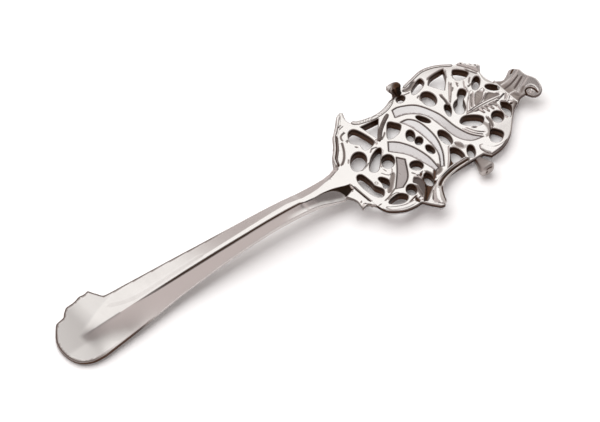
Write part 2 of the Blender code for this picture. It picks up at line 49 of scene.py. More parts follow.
# Where the shared frame's middle lies, from the dish's middle towards the tip
FRAME_MIDDLE = 3.5
BOWL_HALF = (35, 24)
DISH_FLAT = 0.35
RIM_RISE = 2
TIP_START = 24
TIP_RISE = 1.5
PLATE_THICKNESS = 1.5
SATIN_LOW = (0.728, 0.696, 0.708, 1)
SATIN_HIGH = (1, 1, 1, 1)
STAIN_AND_SHADE_TONE = (0.078, 0.034, 0.016, 1)
GRAIN_TURN = 24


def dish(x, y):
    """Height of the bowl's underside; lengths are in millimetres and start from the dish's middle."""
    rim = np.maximum(0, np.hypot(x / BOWL_HALF[0], y / BOWL_HALF[1]) - DISH_FLAT) / (1 - DISH_FLAT)
    tip = np.maximum(0, x - TIP_START) / (BOWL_HALF[0] - TIP_START)
    return RIM_RISE * rim ** 2 + TIP_RISE * tip ** 2


def spline(points, step=0.25, ring=False):
    """A smooth line through points of any number of dimensions."""
    points = np.asarray(points, float)
    if ring:
        ends = np.vstack([points[-1:], points, points[:2]])
    else:
        ends = np.vstack([2 * points[:1] - points[1:2], points, 2 * points[-1:] - points[-2:-1]])
    runs = []
    for a, b, c, d in zip(ends, ends[1:], ends[2:], ends[3:]):
        chord = np.linalg.norm(c - b)
        count = max(1, math.ceil(chord / step))
        t = (np.arange(count) / count)[:, None]
        pulls = ((c - a) / 2, (d - b) / 2)
        start, end = (pull * min(1, chord / max(1e-9, np.linalg.norm(pull))) for pull in pulls)
        runs.append(b + t * (start + t * (3 * (c - b) - 2 * start - end + t * (start + end - 2 * (c - b)))))
    if not ring:
        runs.append(points[-1:])
    return np.vstack(runs)


def rounded(loop, corner=48):
    """A closed outline with its chords bent into a smooth line; corners sharper than the angle stay."""
    into, out = loop - np.roll(loop, 1, 0), np.roll(loop, -1, 0) - loop
    turn = np.arctan2(into[:, 0] * out[:, 1] - into[:, 1] * out[:, 0], (into * out).sum(1))
    corners = np.flatnonzero(np.abs(turn) > math.radians(corner))
    if len(corners) == 0:
        return spline(loop, ring=True)
    loop = np.roll(loop, -corners[0], 0)
    stops = list(corners - corners[0]) + [len(loop)]
    loop = np.vstack([loop, loop[:1]])
    return np.vstack([spline(loop[a:b + 1])[:-1] for a, b in zip(stops, stops[1:])])


def outlines(node):
    """The smooth closed outlines of a CAD node's upper side, the border first."""
    mesh = bmesh.new()
    mesh.from_mesh(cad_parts[node].data)
    bmesh.ops.remove_doubles(mesh, verts=mesh.verts, dist=1e-7)
    mesh.normal_update()
    after = {}
    for edge in mesh.edges:
        upper = [corner for corner in edge.link_loops if corner.face.normal.z > 0.5]
        if len(upper) == 1:
            after[upper[0].vert] = upper[0].link_loop_next.vert
    loops = []
    while after:
        start, point = after.popitem()
        loop = [start]
        while point is not start:
            loop.append(point)
            point = after.pop(point)
        loops.append(np.array([(v.co.x / MM + FRAME_MIDDLE, v.co.y / MM) for v in loop]))
    mesh.free()
    loops.sort(key=lambda loop: -np.ptp(loop, axis=0).prod())
    return [rounded(loop) for loop in loops]


def walked(line, step):
    """Points along a line, a step apart or less."""
    runs = []
    for a, b in zip(line, line[1:]):
        count = max(1, math.ceil(np.linalg.norm(b - a) / step))
        runs.append(a + (b - a) * (np.arange(count) / count)[:, None])
    return np.vstack(runs + [line[-1:]])


def closed(loop):
    """A loop with its first point again at its end."""
    return np.vstack([loop, loop[:1]])


def gauge(lines, rings=True):
    """A function that measures how far points lie from the nearest line; lines are rings or open."""
    marks = np.vstack([walked(closed(line) if rings else line, 0.05) for line in lines])
    tree = KDTree(len(marks))
    for i, (x, y) in enumerate(marks):
        tree.insert((x, y, 0), i)
    tree.balance()
    return lambda points: np.array([tree.find((x, y, 0))[2] for x, y in points])


def leftward(ahead):
    """Steps of length 1 to the left of the steps ahead."""
    return np.column_stack([-ahead[:, 1], ahead[:, 0]]) / np.linalg.norm(ahead, axis=1)[:, None]


def inset(loop, gap):
    """A loop moved to its left: into the metal for a border or a hole of a sheet."""
    return loop + gap * leftward(np.roll(loop, -1, 0) - np.roll(loop, 1, 0))


def within(points, loops):
    """Which points lie inside the border and in none of the holes."""
    x, y = points.T
    odd = np.zeros(len(points), bool)
    for loop in loops:
        for (ax, ay), (bx, by) in zip(loop, np.roll(loop, -1, 0)):
            if ay != by:
                odd ^= ((ay > y) != (by > y)) & (x < ax + (y - ay) * (bx - ax) / (by - ay))
    return odd


def grid(loops, step):
    """Staggered points over the border's box."""
    low, high = loops[0].min(0), loops[0].max(0)
    rows = np.arange(low[1], high[1], 0.866 * step)
    runs = []
    for i, y in enumerate(rows):
        x = np.arange(low[0] + (i % 2) * step / 2, high[0], step)
        runs.append(np.column_stack([x, np.full(len(x), y)]))
    return np.vstack(runs)


def triangles(loops, inner):
    """Triangles over the metal between the loops; the loops' own points come first."""
    points = np.vstack(loops + [inner])
    sides, start = [], 0
    for loop in loops:
        ring = np.arange(start, start + len(loop))
        sides += list(zip(ring.tolist(), np.roll(ring, -1).tolist()))
        start += len(loop)
    flat, _, faces, sources, _, _ = delaunay_2d_cdt([Vector(p) for p in points], sides, [], 1, 1e-6)
    flat, faces = np.array(flat), np.array(faces)
    faces = faces[within(flat[faces].mean(1), loops)]
    place = {source: i for i, made_from in enumerate(sources) for source in made_from}
    return flat, [tuple(face) for face in faces.tolist()], [(place[a], place[b]) for a, b in sides]


RIMS = (0.06, 0.14, 0.26, 0.42)
TOUCH = 1e-3


def relief(loops, top, under, step, rims=RIMS, seeds=(), soil_and_shade=0.15, hole_soil=0.95, draft=0, under_step=2):
    """A closed cast sheet. Its top's height and its stain and painted shade come from place and distance to
    the rim, and its underside's height from place; the wall joins them, is darkened at the border with soil
    and painted shade, is soiled in the holes, and can draw in towards the underside along the border."""
    distance = gauge(loops)
    border = gauge(loops[:1])
    inner = []
    for gap in rims:
        for loop in loops:
            ring = inset(loop, gap)
            inner.append(ring[distance(ring) > 0.9 * gap])
    mesh_points = grid(loops, step)
    mesh_points = mesh_points[within(mesh_points, loops)]
    mesh_points = mesh_points[distance(mesh_points) > rims[-1] + 0.3 * step]
    if len(seeds):
        marks = np.vstack(seeds)
        marks = marks[within(marks, loops)]
        marks = marks[distance(marks) > rims[0]]
        mesh_points = mesh_points[gauge(seeds, False)(mesh_points) > 0.4 * step]
        inner.append(np.unique(marks.round(2), axis=0))
    flat, faces, wall = triangles(loops, np.vstack(inner + [mesh_points]))
    gaps = np.zeros(len(loops[0]))
    for gap in np.linspace(0.1, 1, 10) * draft:
        gaps[distance(inset(loops[0], gap)) > 0.93 * gap] = gap
    for _ in range(6):
        gaps = np.minimum(gaps, (np.roll(gaps, 1) + gaps + np.roll(gaps, -1)) / 3)
    foot = inset(loops[0], gaps[:, None])
    low_loops = [foot] + list(loops[1:])
    coarse = grid(loops, under_step)
    coarse = coarse[within(coarse, low_loops)]
    low_distance = gauge(low_loops)
    coarse = coarse[low_distance(coarse) > 0.3 * under_step]
    base, base_faces, base_wall = triangles(low_loops, coarse)
    reach = distance(flat)
    height, stain = top(flat[:, 0], flat[:, 1], reach)
    rim = reach < TOUCH
    stain[rim] = np.where(border(flat[rim]) < TOUCH, soil_and_shade, hole_soil)
    low_stain_and_shade = np.full(len(base), 0.3)
    rim = low_distance(base) < TOUCH
    low_stain_and_shade[rim] = np.where(gauge([foot])(base[rim]) < TOUCH, soil_and_shade, hole_soil)
    vertices = np.vstack([np.column_stack([flat, height]),
                          np.column_stack([base, under(base[:, 0], base[:, 1])])])
    count = len(flat)
    faces += [tuple(count + v for v in reversed(face)) for face in base_faces]
    for (a, b), (c, d) in zip(wall, base_wall):
        faces.append((count + c, count + d, b, a))
    return vertices, faces, np.concatenate([stain, low_stain_and_shade])


def placed(name, data):
    """A new object in the scene."""
    item = bpy.data.objects.new(name, data)
    bpy.context.scene.collection.objects.link(item)
    return item


def cast(name, shape, metal, crease=35):
    """Make a piece of metal from points in millimetres, faces and a share of stain and painted shade for
    each point.
    """
    vertices, faces, stain = shape
    mesh = bpy.data.meshes.new(name)
    mesh.from_pydata(((vertices - (FRAME_MIDDLE, 0, 0)) * MM).tolist(), [], faces)
    mesh.shade_smooth()
    mesh.set_sharp_from_angle(angle=math.radians(crease))
    mesh.attributes.new("stain", "FLOAT", "POINT").data.foreach_set("value", stain.astype(np.float32))
    mesh.materials.append(metal)
    return placed(name, mesh)


class Shade:
    """A value in a material's nodes that can be reckoned with; sums and products add Math nodes."""

    def __init__(self, tree, socket=None):
        self.tree = tree
        self.socket = socket

    def node(self, kind, settings=None, inputs=None, output=0):
        """Add a node: settings first, then a value or a link for each socket named."""
        made = self.tree.nodes.new(kind)
        for key, value in (settings or {}).items():
            if key == "stops":
                steps = made.color_ramp.elements
                steps[0].position, steps[0].color = value[0]
                steps[1].position, steps[1].color = value[-1]
                for position, colour in value[1:-1]:
                    steps.new(position).color = colour
            else:
                setattr(made, key, value)
        for key, value in (inputs or {}).items():
            if isinstance(value, Shade):
                self.tree.links.new(value.socket, made.inputs[key])
            else:
                made.inputs[key].default_value = value
        return Shade(self.tree, made.outputs[output])

    def reckon(self, operation, a, b):
        return self.node("ShaderNodeMath", {"operation": operation}, {0: a, 1: b})

    def __add__(self, other):
        return self.reckon("ADD", self, other)

    def __sub__(self, other):
        return self.reckon("SUBTRACT", self, other)

    def __rsub__(self, other):
        return self.reckon("SUBTRACT", other, self)

    def __mul__(self, other):
        return self.reckon("MULTIPLY", self, other)

    __radd__ = __add__
    __rmul__ = __mul__

    def held(self):
        """The value kept between 0 and 1."""
        return self.node("ShaderNodeClamp", None, {"Value": self})

    def blend(self, low, high):
        """A colour between two, by this share."""
        return self.node("ShaderNodeMix", {"data_type": "RGBA"}, {"Factor": self, 6: low, 7: high}, 2)

    def noise(self, scale, detail=4, roughness=0.55, stretch=(1, 1, 1), turn=0):
        """Noise over the piece; the scale is in spots to a millimetre."""
        place = self.node("ShaderNodeTexCoord", output="Object")
        place = self.node("ShaderNodeMapping", None, {
            "Vector": place, "Rotation": (0, 0, math.radians(turn)), "Scale": stretch})
        return self.node("ShaderNodeTexNoise", None, {
            "Vector": place, "Scale": scale / MM, "Detail": detail, "Roughness": roughness})


def bare_metal(name):
    """A metal to work on: the material, its shader's sockets, a value to reckon from and the share of stain
    and painted shade.
    """
    metal = bpy.data.materials.new(name)
    metal.use_nodes = True
    sockets = metal.node_tree.nodes["Principled BSDF"].inputs
    sockets["Metallic"].default_value = 1
    sockets["Specular IOR Level"].default_value = 0.15
    shade = Shade(metal.node_tree)
    stain = shade.node("ShaderNodeAttribute", {"attribute_name": "stain"}, output="Fac")
    return metal, sockets, shade, stain


def feed(value, socket):
    """Link a value to a socket."""
    value.tree.links.new(value.socket, socket)


def satin_silver(name):
    """Satin silver: a fine grain rubbed crosswise over a cloudy tone, browned where it is stained and where
    shade is painted.
    """
    metal, sockets, shade, stain = bare_metal(name)
    grain = shade.noise(3.2, 3, 0.6, (1, 0.12, 1), GRAIN_TURN)
    cross = shade.noise(2.6, 3, 0.6, (0.12, 1, 1), GRAIN_TURN)
    cloud = shade.noise(0.25)
    rubbed = (0.45 * grain + 0.25 * cross + 0.3 * cloud).held().blend(SATIN_LOW, SATIN_HIGH)
    feed((1.15 * stain).held().blend(rubbed, STAIN_AND_SHADE_TONE), sockets["Base Color"])
    feed(1 - 0.85 * stain, sockets["Metallic"])
    feed(0.21 + 0.17 * grain, sockets["Roughness"])
    feed(shade.node("ShaderNodeBump", None, {
        "Strength": 0.35, "Distance": 0.02 * MM, "Height": grain + cross}), sockets["Normal"])
    return metal


def hump(away, width, power=2):
    """A soft hump: 1 where a distance is nought, fading over a width."""
    return np.exp(-(away / width) ** power)


# Two holes: their middles and the directions along and across them
KEYHOLE = (12.7, 6.7)
KEYHOLE_LONG = (0.68, 0.73)
KEYHOLE_WIDE = (-0.73, 0.68)
NECK_HOLE = (-27.5, 5)
NECK_HOLE_WIDE = (0.79, -0.61)


def keyholed(loops):
    """The long hole below the leaf spray is drawn in to a waist below its head, and the round hole beside
    the neck is narrowed and moved a little away from the bowl's left edge."""
    for loop in loops[1:]:
        if np.linalg.norm(loop.mean(0) - NECK_HOLE) < 1.2:
            across = (loop - NECK_HOLE) @ NECK_HOLE_WIDE
            loop += np.outer(0.3 - 0.13 * across, NECK_HOLE_WIDE)
        if np.linalg.norm(loop.mean(0) - KEYHOLE) < 0.3:
            along, aside = (loop - KEYHOLE) @ KEYHOLE_LONG, (loop - KEYHOLE) @ KEYHOLE_WIDE
            aside *= 1 - 0.4 * hump(along - 1.2, 0.9) + 0.1 * hump(along + 2.2, 1.4)
            loop[:] = KEYHOLE + np.outer(along, KEYHOLE_LONG) + np.outer(aside, KEYHOLE_WIDE)
    return loops


fret_loops = keyholed(outlines("fret"))
plate_loops = keyholed(outlines("bowl_plate"))
windows = [loop for loop in fret_loops[1:]
           if min(np.linalg.norm(loop.mean(0) - hole.mean(0)) for hole in plate_loops[1:]) > 0.02]


def held(value):
    """Numbers kept between 0 and 1."""
    return np.clip(value, 0, 1)


def smooth(share):
    """A share kept between 0 and 1 that starts and ends gently."""
    share = held(share)
    return share * share * (3 - 2 * share)


# Extra darkening of the four bands, largest first
BAND_DARKENING = (0.01, 0, 0.16, 0.54)


def plate_top(x, y, reach):
    """The ground swells a little between the fret's edges and stays lower along them."""
    points = np.column_stack([x, y])
    swell = gauge(windows)(points)
    height, stain = dish(x, y) + PLATE_THICKNESS, np.full(len(x), 0.9)
    for loop, soil_and_shade in zip(windows, BAND_DARKENING):
        inside = within(points, [loop])
        height += np.where(inside, 0.92 * (1 - np.exp(-swell / 0.08)), 0)
        # Painted shade darkens the ground along the fret's edges; each band has its own extra darkening, and
        # on the tip's half the ground grows darker towards the lower rim
        ground_darkening = soil_and_shade + 0.2 * np.exp(-swell / 0.1) + 0.25 * smooth((9 - y) / 8) * (x > 0)
        stain[inside] = ground_darkening[inside]
    stain[gauge(plate_loops[:1])(points) < 0.7] = 0.25
    return height, stain


window_rings = [walked(closed(inset(window, gap)), 0.2)
                for window in windows for gap in (0, -0.06, -0.14, -0.3)]
ground_plate = cast(
    "ground_plate",
    relief(plate_loops, plate_top, dish, 0.4, (0.15, 0.4), window_rings, draft=1.3),
    satin_silver("satin_ground"))
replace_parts(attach(ground_plate, "root"), "bowl_plate")


# Fret: a thick sheet of silver sawn out around the same holes and around four long windows, filed round at
# every edge, polished, and hard-soldered on the ground plate.
FRET_THICKNESS = 1.02
NECK_END = -34.5
EDGE_ROUND = 0.34
BORDER_ROUND = 0.62
SOLDER_LAP = 0.05

# Colours of silver under more and more film, from clean to black; painted shade takes these colours too
FILM_AND_SHADE_TONES = [
    (0, (0.97, 0.945, 0.925, 1)), (0.45, (0.28, 0.242, 0.222, 1)), (0.62, (0.105, 0.086, 0.08, 1)),
    (0.8, STAIN_AND_SHADE_TONE), (1, (0.014, 0.007, 0.003, 1)),
]


def polished_silver(name, gloss=0.1, turn=30):
    """Hand-polished silver: fine rub marks, slightly cloudy gloss, brown film where it is stained and where
    shade is painted.
    """
    metal, sockets, shade, stain = bare_metal(name)
    cloud = shade.noise(0.12, 5)
    film_and_shade = (stain * (0.8 + 0.4 * cloud) + 0.03 * cloud).held()
    feed(shade.node("ShaderNodeValToRGB", {"stops": FILM_AND_SHADE_TONES}, {0: film_and_shade}), sockets["Base Color"])
    feed(1 - 0.85 * film_and_shade, sockets["Metallic"])
    rub = shade.noise(1.4, 2, 0.5, (1, 0.05, 1), turn)
    feed(gloss + 0.05 * cloud + 0.05 * rub + 0.3 * film_and_shade, sockets["Roughness"])
    feed(shade.node("ShaderNodeBump", None, {
        "Strength": 0.04, "Distance": 0.01 * MM, "Height": rub}), sockets["Normal"])
    return metal


def fret_top(x, y):
    """Height of the fret's face, which is eased a little towards the upper rim."""
    return dish(x, y) + PLATE_THICKNESS + FRET_THICKNESS - 0.06 * np.maximum(0, y - 14)


def round_edge(reach, radius=EDGE_ROUND):
    """How much lower a filed edge lies than the flat, by distance from the rim."""
    short = np.clip(radius - reach, 0, radius)
    return radius - np.sqrt(radius ** 2 - short ** 2)


# Chased strokes: a line, a half width, a rise that is negative where it cuts in, and its own soil if any;
# for some strokes that soil is painted shade
FRET_STROKES = [
    ([(-26.3, 13.5), (-27.2, 11.7), (-28.3, 9.9), (-29.7, 8.2), (-31, 7.1), (-32, 6.5)], 0.42, -0.4),
    ([(-25.7, 13.9), (-25.4, 15.1), (-24.5, 15.9), (-23, 16.3)], 0.34, -0.32),
    ([(-24.9, 12.9), (-24.3, 13.4)], 0.34, -0.28),
    ([(-23.9, 10.3), (-23.5, 9.9)], 0.36, -0.25),
    ([(-23.8, 17.9), (-22, 18.5)], 0.2, -0.12),
    ([(-23.9, 18.6), (-22.2, 19.1)], 0.2, -0.12),
    ([(-28.4, 1.9), (-26.5, 2.4), (-24.6, 3.2)], 0.28, -0.22),
    ([(-29.8, 6.2), (-28.8, 7.2)], 0.26, -0.2),
    ([(-21.5, 6.4), (-20.2, 7.2), (-18.6, 7)], 0.3, -0.22),
    ([(-22.6, 0), (-20.2, 2.8), (-17.9, 5.3)], 0.3, 0.28),
    ([(-18, 8), (-17.5, 8.9), (-16.7, 9.4)], 0.45, 0.35),
    ([(-15.6, 8.6), (-14, 9.5), (-13, 10.3)], 0.32, -0.28),
    ([(-28.7, -4.5), (-28.2, -4), (-27.7, -4.5), (-28.2, -5), (-28.6, -4.7)], 0.17, -0.15),
    ([(-24.3, -2), (-23.5, -3.4), (-22.6, -3.9), (-21.3, -3.1), (-20.6, -2.2)], 0.22, -0.15),
    ([(-22.8, -1), (-22.6, -2.2)], 0.2, -0.15),
    ([(-27.8, -9.6), (-24.8, -7), (-21.5, -3.8)], 0.8, -0.35),
    ([(-31.2, -12), (-29, -11.2), (-26.8, -10), (-25.4, -9.3)], 0.28, -0.35),
    ([(-30.2, -12.2), (-28, -11.2), (-26.4, -11), (-25.6, -11.4)], 0.2, -0.25),
    ([(-34.3, -12.9), (-33, -12.6)], 0.22, -0.3),
    ([(-26.3, -16.7), (-24.3, -15.9), (-22.5, -15.3)], 0.28, -0.3, 0.9),
    ([(-23.2, -16.1), (-23.6, -17.1), (-23.9, -18)], 0.75, -0.45, 1),
    ([(-22.9, -16.6), (-22, -16.5), (-21.6, -17.3), (-22.2, -18), (-22.9, -17.8)], 0.3, 0.25),
    ([(-19, -11.6), (-19.7, -13.3), (-20.8, -16)], 0.28, 0.25, 0.25),
    ([(-16, -10.4), (-17, -13.1), (-19.4, -15.8), (-22.4, -18.8)], 0.5, -0.4, 1),
    ([(-21.4, -19), (-20.3, -18.2), (-16.7, -15.6), (-13.2, -13.7)], 0.42, 0.35, 0.22),
    ([(-17.4, -16.8), (-20.2, -19.8)], 0.35, -0.3, 0.8),
    ([(-15.4, -15.8), (-17.6, -18.3), (-19.1, -20.4), (-19.6, -22.4)], 1.2, 0.4),
    ([(-17.6, -8.4), (-16.6, -9.3), (-15.9, -10.1), (-13.8, -9.2)], 0.28, 0.28),
    ([(-15.9, -9.4), (-15, -8.4)], 0.45, -0.25, 0.8),
    ([(-17.2, -6.8), (-16.6, -7.9)], 0.3, -0.3),
    ([(-16.6, -8.5), (-15.6, -9.3)], 0.4, -0.35),
    ([(-15.2, -8.6), (-14.3, -8.2)], 0.28, -0.25),
    ([(-1.8, -5.2), (-4.4, -8.4), (-7.9, -12.2)], 0.5, 0.45),
    ([(-3.4, -8.2), (-6, -11), (-8.6, -12.9)], 0.55, -0.4, 0.85),
    ([(-10.4, -9.2), (-12.4, -11.2), (-13.6, -12.6)], 0.6, -0.35, 0.8),
    ([(0.6, -5.4), (1.2, -7.4)], 1.2, -0.35),
    ([(6, -2.2), (7.2, -5), (9.2, -7.4)], 0.3, 0.3),
    ([(6.9, -2.3), (8.3, -5), (10.2, -6.9)], 0.3, 0.3),
    ([(8.6, -3.3), (9.6, -4.1)], 0.4, 0.3),
    ([(9.6, -9.8), (11.4, -8.2), (12.8, -6.4), (13.6, -5)], 0.35, -0.4),
    ([(12.7, -6.9), (13.5, -6.1), (14, -5.4)], 0.4, 0.45),
    ([(14.6, -2.6), (14.4, -4.6), (13.4, -6.6)], 0.6, -0.35),
    ([(1, 18.6), (2, 18.5), (3, 18.4)], 0.22, -0.3),
    ([(1.8, 19.8), (4.2, 19.6), (6.6, 20.8)], 0.7, -0.3),
    ([(3.6, 13.9), (4.2, 15.2), (5.4, 16)], 0.3, -0.28),
    ([(3.4, 15.4), (4.4, 15.9)], 0.25, -0.2),
    ([(8.9, 7.9), (9.5, 9.8), (9.7, 12.4)], 0.5, -0.45),
    ([(9.3, 7.6), (12, 11), (14.9, 14.6)], 0.3, 0.35),
    ([(10, 8.2), (12.6, 10.9), (15.2, 14)], 0.25, -0.25),
    ([(13.4, 11.5), (14.6, 12.5)], 0.35, -0.3),
    ([(14.3, 13.4), (15.2, 13.9)], 0.25, -0.25),
    ([(15.9, 11.9), (16.6, 13.2)], 0.3, -0.28),
    ([(15.4, 16.4), (16.8, 18.6)], 0.25, -0.25),
    ([(16.9, 15), (17.6, 16.6)], 0.25, -0.25),
    ([(17.2, 10.2), (18.6, 12.4)], 0.3, 0.35),
    ([(18.2, 9.9), (19.8, 10.2)], 0.3, -0.3),
    ([(19.4, 10.9), (20.8, 12.2)], 0.3, -0.25),
    ([(16.9, 7.9), (17.7, 10.2)], 0.35, 0.3),
    ([(21.9, 15.4), (22.6, 13.8), (23.5, 12.2)], 0.3, -0.4),
    ([(20.3, -0.6), (19.7, -3), (19, -6.6)], 0.45, 0.35),
    ([(21.9, -0.3), (23.9, -1.6), (24.6, -3.2)], 0.3, 0.3),
    ([(22.8, -1.2), (24, -0.2), (25.2, 1)], 0.35, 0.4),
    ([(23.4, -3), (24.1, -3.2)], 0.5, -0.3, 1),
    ([(25.4, -0.2), (24, -1.2), (23, -1.9), (22.4, -2.7)], 0.45, 0.2),
    # Painted shade: shallow strokes that hardly cut in, laid to darken soft patches of the flat
    ([(26, -2.4), (24.3, -4.2), (22.6, -5.4)], 1.2, -0.02, 0.42),
    ([(10.4, 19.3), (13.1, 19.5), (16.3, 19.5)], 0.6, -0.05, 0.55),
    ([(-0.9, -5.6), (0.8, -7.6), (2.6, -8)], 0.9, -0.03, 0.3),
    ([(12, -2.6), (12.5, -5.4), (11.2, -8), (9.4, -8.6)], 0.8, -0.03, 0.4),
    ([(-9, -8.6), (-10, -10.8), (-12.2, -11.6)], 0.9, -0.05, 0.55),
    ([(-13.6, -8.6), (-13.2, -10.4), (-13.9, -12.8)], 0.7, -0.05, 0.6),
    ([(-19.7, -11.6), (-20.2, -13.4), (-20.8, -15.2), (-21.3, -16.6)], 0.85, -0.03, 0.62),
    ([(24.9, 12.2), (24.6, 11), (24.2, 8.9), (25, 7), (26, 5.9)], 0.75, -0.12, 0.28),
    # Painted shadow: a dark cut beside the horn leaf and another under the rim rib
    ([(-32.9, 6.6), (-31.8, 9.1), (-30.6, 10.4), (-29.3, 11.8), (-28.1, 13.4), (-27.1, 14.9), (-26.2, 16)],
     0.5, -0.35, 0.95),
    ([(-15.3, -16.7), (-13.8, -15.2), (-11.2, -13.8), (-6.6, -12.6), (-0.6, -12.2)], 0.9, -0.5, 0.95),
]

# Hollowed panels at the lower left, a dark one between two holes and the fold beside the leaf point: an
# outline, a depth and its soil, which is tarnish in the hollow and painted shade
FRET_PANELS = [
    ([(-17.8, -8.5), (-16.4, -10.2), (-17.2, -13), (-19.5, -15.7), (-21.4, -17.4), (-20.6, -16.1),
      (-19.6, -13.3), (-19.2, -11.4), (-19.6, -10.2)], 0.4, 0.65),
    ([(-16.7, -12.4), (-19.5, -15.7), (-22.4, -18.9), (-21.4, -19.3), (-20.3, -18.5), (-16.7, -15.7),
      (-13.6, -13.8)], 0.55, 0.88),
]


def panelled(x, y, panels):
    """How deep hollowed panels lie and how dark they are made, with soil and painted shade."""
    depth, soil_and_shade = np.zeros((2, len(x)))
    points = np.column_stack([x, y])
    for outline, deep, dirt_and_shade in panels:
        loop = spline(outline, 0.2, True)
        inside = np.flatnonzero(within(points, [loop]))
        share = smooth(gauge([loop])(points[inside]) / 0.45)
        depth[inside] = np.maximum(depth[inside], deep * share)
        soil_and_shade[inside] = np.maximum(soil_and_shade[inside], dirt_and_shade * np.minimum(1, 3 * share))
    return depth, soil_and_shade


def beside(x, y, line):
    """How far points lie along a line and to its left, and the line's length."""
    ahead = np.gradient(line, axis=0)
    ahead /= np.linalg.norm(ahead, axis=1)[:, None]
    run = np.concatenate([[0], np.cumsum(np.linalg.norm(np.diff(line, axis=0), axis=1))])
    at = np.hypot(x[:, None] - line[:, 0], y[:, None] - line[:, 1]).argmin(1)
    dx, dy = x - line[at, 0], y - line[at, 1]
    return run[at] + dx * ahead[at, 0] + dy * ahead[at, 1], ahead[at, 0] * dy - ahead[at, 1] * dx, run[-1]


def tracks(strokes):
    """Mesh points along strokes: their middles, flanks and sides."""
    marks = []
    for points, half, *_ in strokes:
        line = spline(points, 0.2)
        aside = leftward(np.gradient(line, axis=0))
        marks += [line + share * half * aside for share in (-1, -0.55, 0, 0.55, 1)]
    return marks


def chased(base, soil_and_shade, strokes, x, y):
    """A surface with strokes worked into it; cuts hold soil, raised strokes are rubbed clean, and some
    strokes' own soil is painted shade.
    """
    raised, sunk, soil_and_shade = np.zeros(len(x)), np.zeros(len(x)), soil_and_shade + np.zeros(len(x))
    for points, half, rise, *own in strokes:
        line = spline(points, 0.15)
        low, high = line.min(0) - half, line.max(0) + half
        near = np.flatnonzero((x > low[0]) & (x < high[0]) & (y > low[1]) & (y < high[1]))
        if len(near) == 0:
            continue
        along, aside, length = beside(x[near], y[near], line)
        past = np.maximum(0, np.maximum(-along, along - length))
        end = held(np.minimum(along, length - along) / (1.5 * half))
        girth = half * (0.45 + 0.55 * np.sqrt(end))
        swell = held(1 - (aside ** 2 + past ** 2) / girth ** 2)
        if rise > 0:
            raised[near] = np.maximum(raised[near], min(rise, 0.8 * half) * swell)
            soil_and_shade[near] *= 1 - swell
        else:
            sunk[near] = np.minimum(sunk[near], max(rise, -0.6 * half) * swell)
        dirt_and_shade = own[0] if own else max(0, min(0.6, -1.4 * rise))
        soil_and_shade[near] = np.maximum(soil_and_shade[near], dirt_and_shade * np.sqrt(swell))
    return base + raised + sunk, soil_and_shade


fret_border = gauge(fret_loops[:1])


def fret_face(x, y, reach):
    """Flat between filed edges; where neck, heel and tip are soldered on, the edge is not filed."""
    joined = ((x < -34) & ((y > -2.4) | (y < -10))) | ((x > 24.8) & (y > -3.4) & (y < 6.4))
    edge = np.where(joined, 1, reach)
    outer = np.where(joined, 1, fret_border(np.column_stack([x, y])))
    hollow, soil_and_shade = panelled(x, y, FRET_PANELS)
    base = fret_top(x, y) - np.maximum(round_edge(edge), round_edge(outer, BORDER_ROUND)) - hollow
    past_crest = np.maximum(0, y - 5.2 - 0.75 * (x - NECK_END)) * held((-32.4 - x) / 0.8)
    # Painted shade: a soft darkening of the flats towards the lower right, and a dark line just past the
    # neck's crest
    soil_and_shade = np.maximum.reduce([
        soil_and_shade, 0.12 * smooth((x - 9) / 6) * smooth((-4 - y) / 5),
        0.7 * hump(past_crest - 0.2, 0.22) * (past_crest > 0)])
    height, stain = chased(base - 0.35 * past_crest, soil_and_shade, FRET_STROKES, x, y)
    upper_left = smooth((y - 14) / 2) * smooth((-13 - x) / 3)
    # Painted shade: a dark outline along every filed rim, wider along the outer edge at the upper left
    painted_rim_shade = np.maximum(0.75 * hump(edge, 0.2), 0.85 * hump(outer, 0.32) * upper_left)
    return np.maximum(height, dish(x, y) + PLATE_THICKNESS + 0.02), np.maximum(stain, painted_rim_shade)


# The fret's border wall is painted dark as shade along the outer edge; its hole walls hold tarnish
fret_shape = relief(
    fret_loops, fret_face, lambda x, y: dish(x, y) + PLATE_THICKNESS - SOLDER_LAP, 0.35,
    seeds=tracks(FRET_STROKES) + [spline(outline, 0.2, True) for outline, _, _ in FRET_PANELS],
    soil_and_shade=0.78, hole_soil=0.9, draft=0.35)
fret_points, _, fret_stain_and_shade = fret_shape
fret_x, fret_y, _ = fret_points.T
fret_stain_and_shade[gauge(windows)(fret_points[:, :2]) < 0.01] = 0.12
fret_stain_and_shade[(fret_x < -34) & (fret_y > -2.4) & (fret_y < 5.2)] = 0
fret_stain_and_shade[(fret_x > 25.2) & (np.abs(fret_y - 1.5) < 4.9)] = 0
fret = cast("polished_fret", fret_shape, polished_silver("fret_silver"))
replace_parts(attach(fret, "root"), "fret")


# Handle: forged from a thick silver bar and soldered to the bowl at its neck. Two ground facets meet in a
# ridge with a thin step on its right, and the end is a flat pad with a scalloped shoulder.
HANDLE_THICKNESS = 2.6
HANDLE_LENGTH = 96.4
ARCH_RISE = 3.3
BACK_EASE = 0.5
RIDGE_HEIGHT = 1.05
PAD_END = -124.5
PAD_RUN = 28.5
PAD_TILT = 0.043
FOLD_SPREAD = 0.42
STRIP_SLOPE = 0.1
LOBE_SHIFT = (0.427, 0.553)
RIDGE = [(-124.5, 0.9), (-110, 0.7), (-90, 0.7), (-80, 0.5), (-70, 0.3), (-52, 0.45),
         (-50.5, -0.2), (-47, -0.3), (-44, 0), (-41, 0), (-38, -0.25), (-34.5, -0.8)]
STEP_WIDTH = [(-112, 0), (-105, 0.35), (-100, 0.55), (-90, 0.7), (-70, 0.7), (-60, 0.85),
              (-52, 0.9), (-50.8, 0.3), (-34.5, 0.3)]
STEP_SLOPE = [(-110, 0.55), (-100, 0.62), (-75, 0.65), (-62, 0.45), (-52, 0.25), (-50.8, 0.65)]
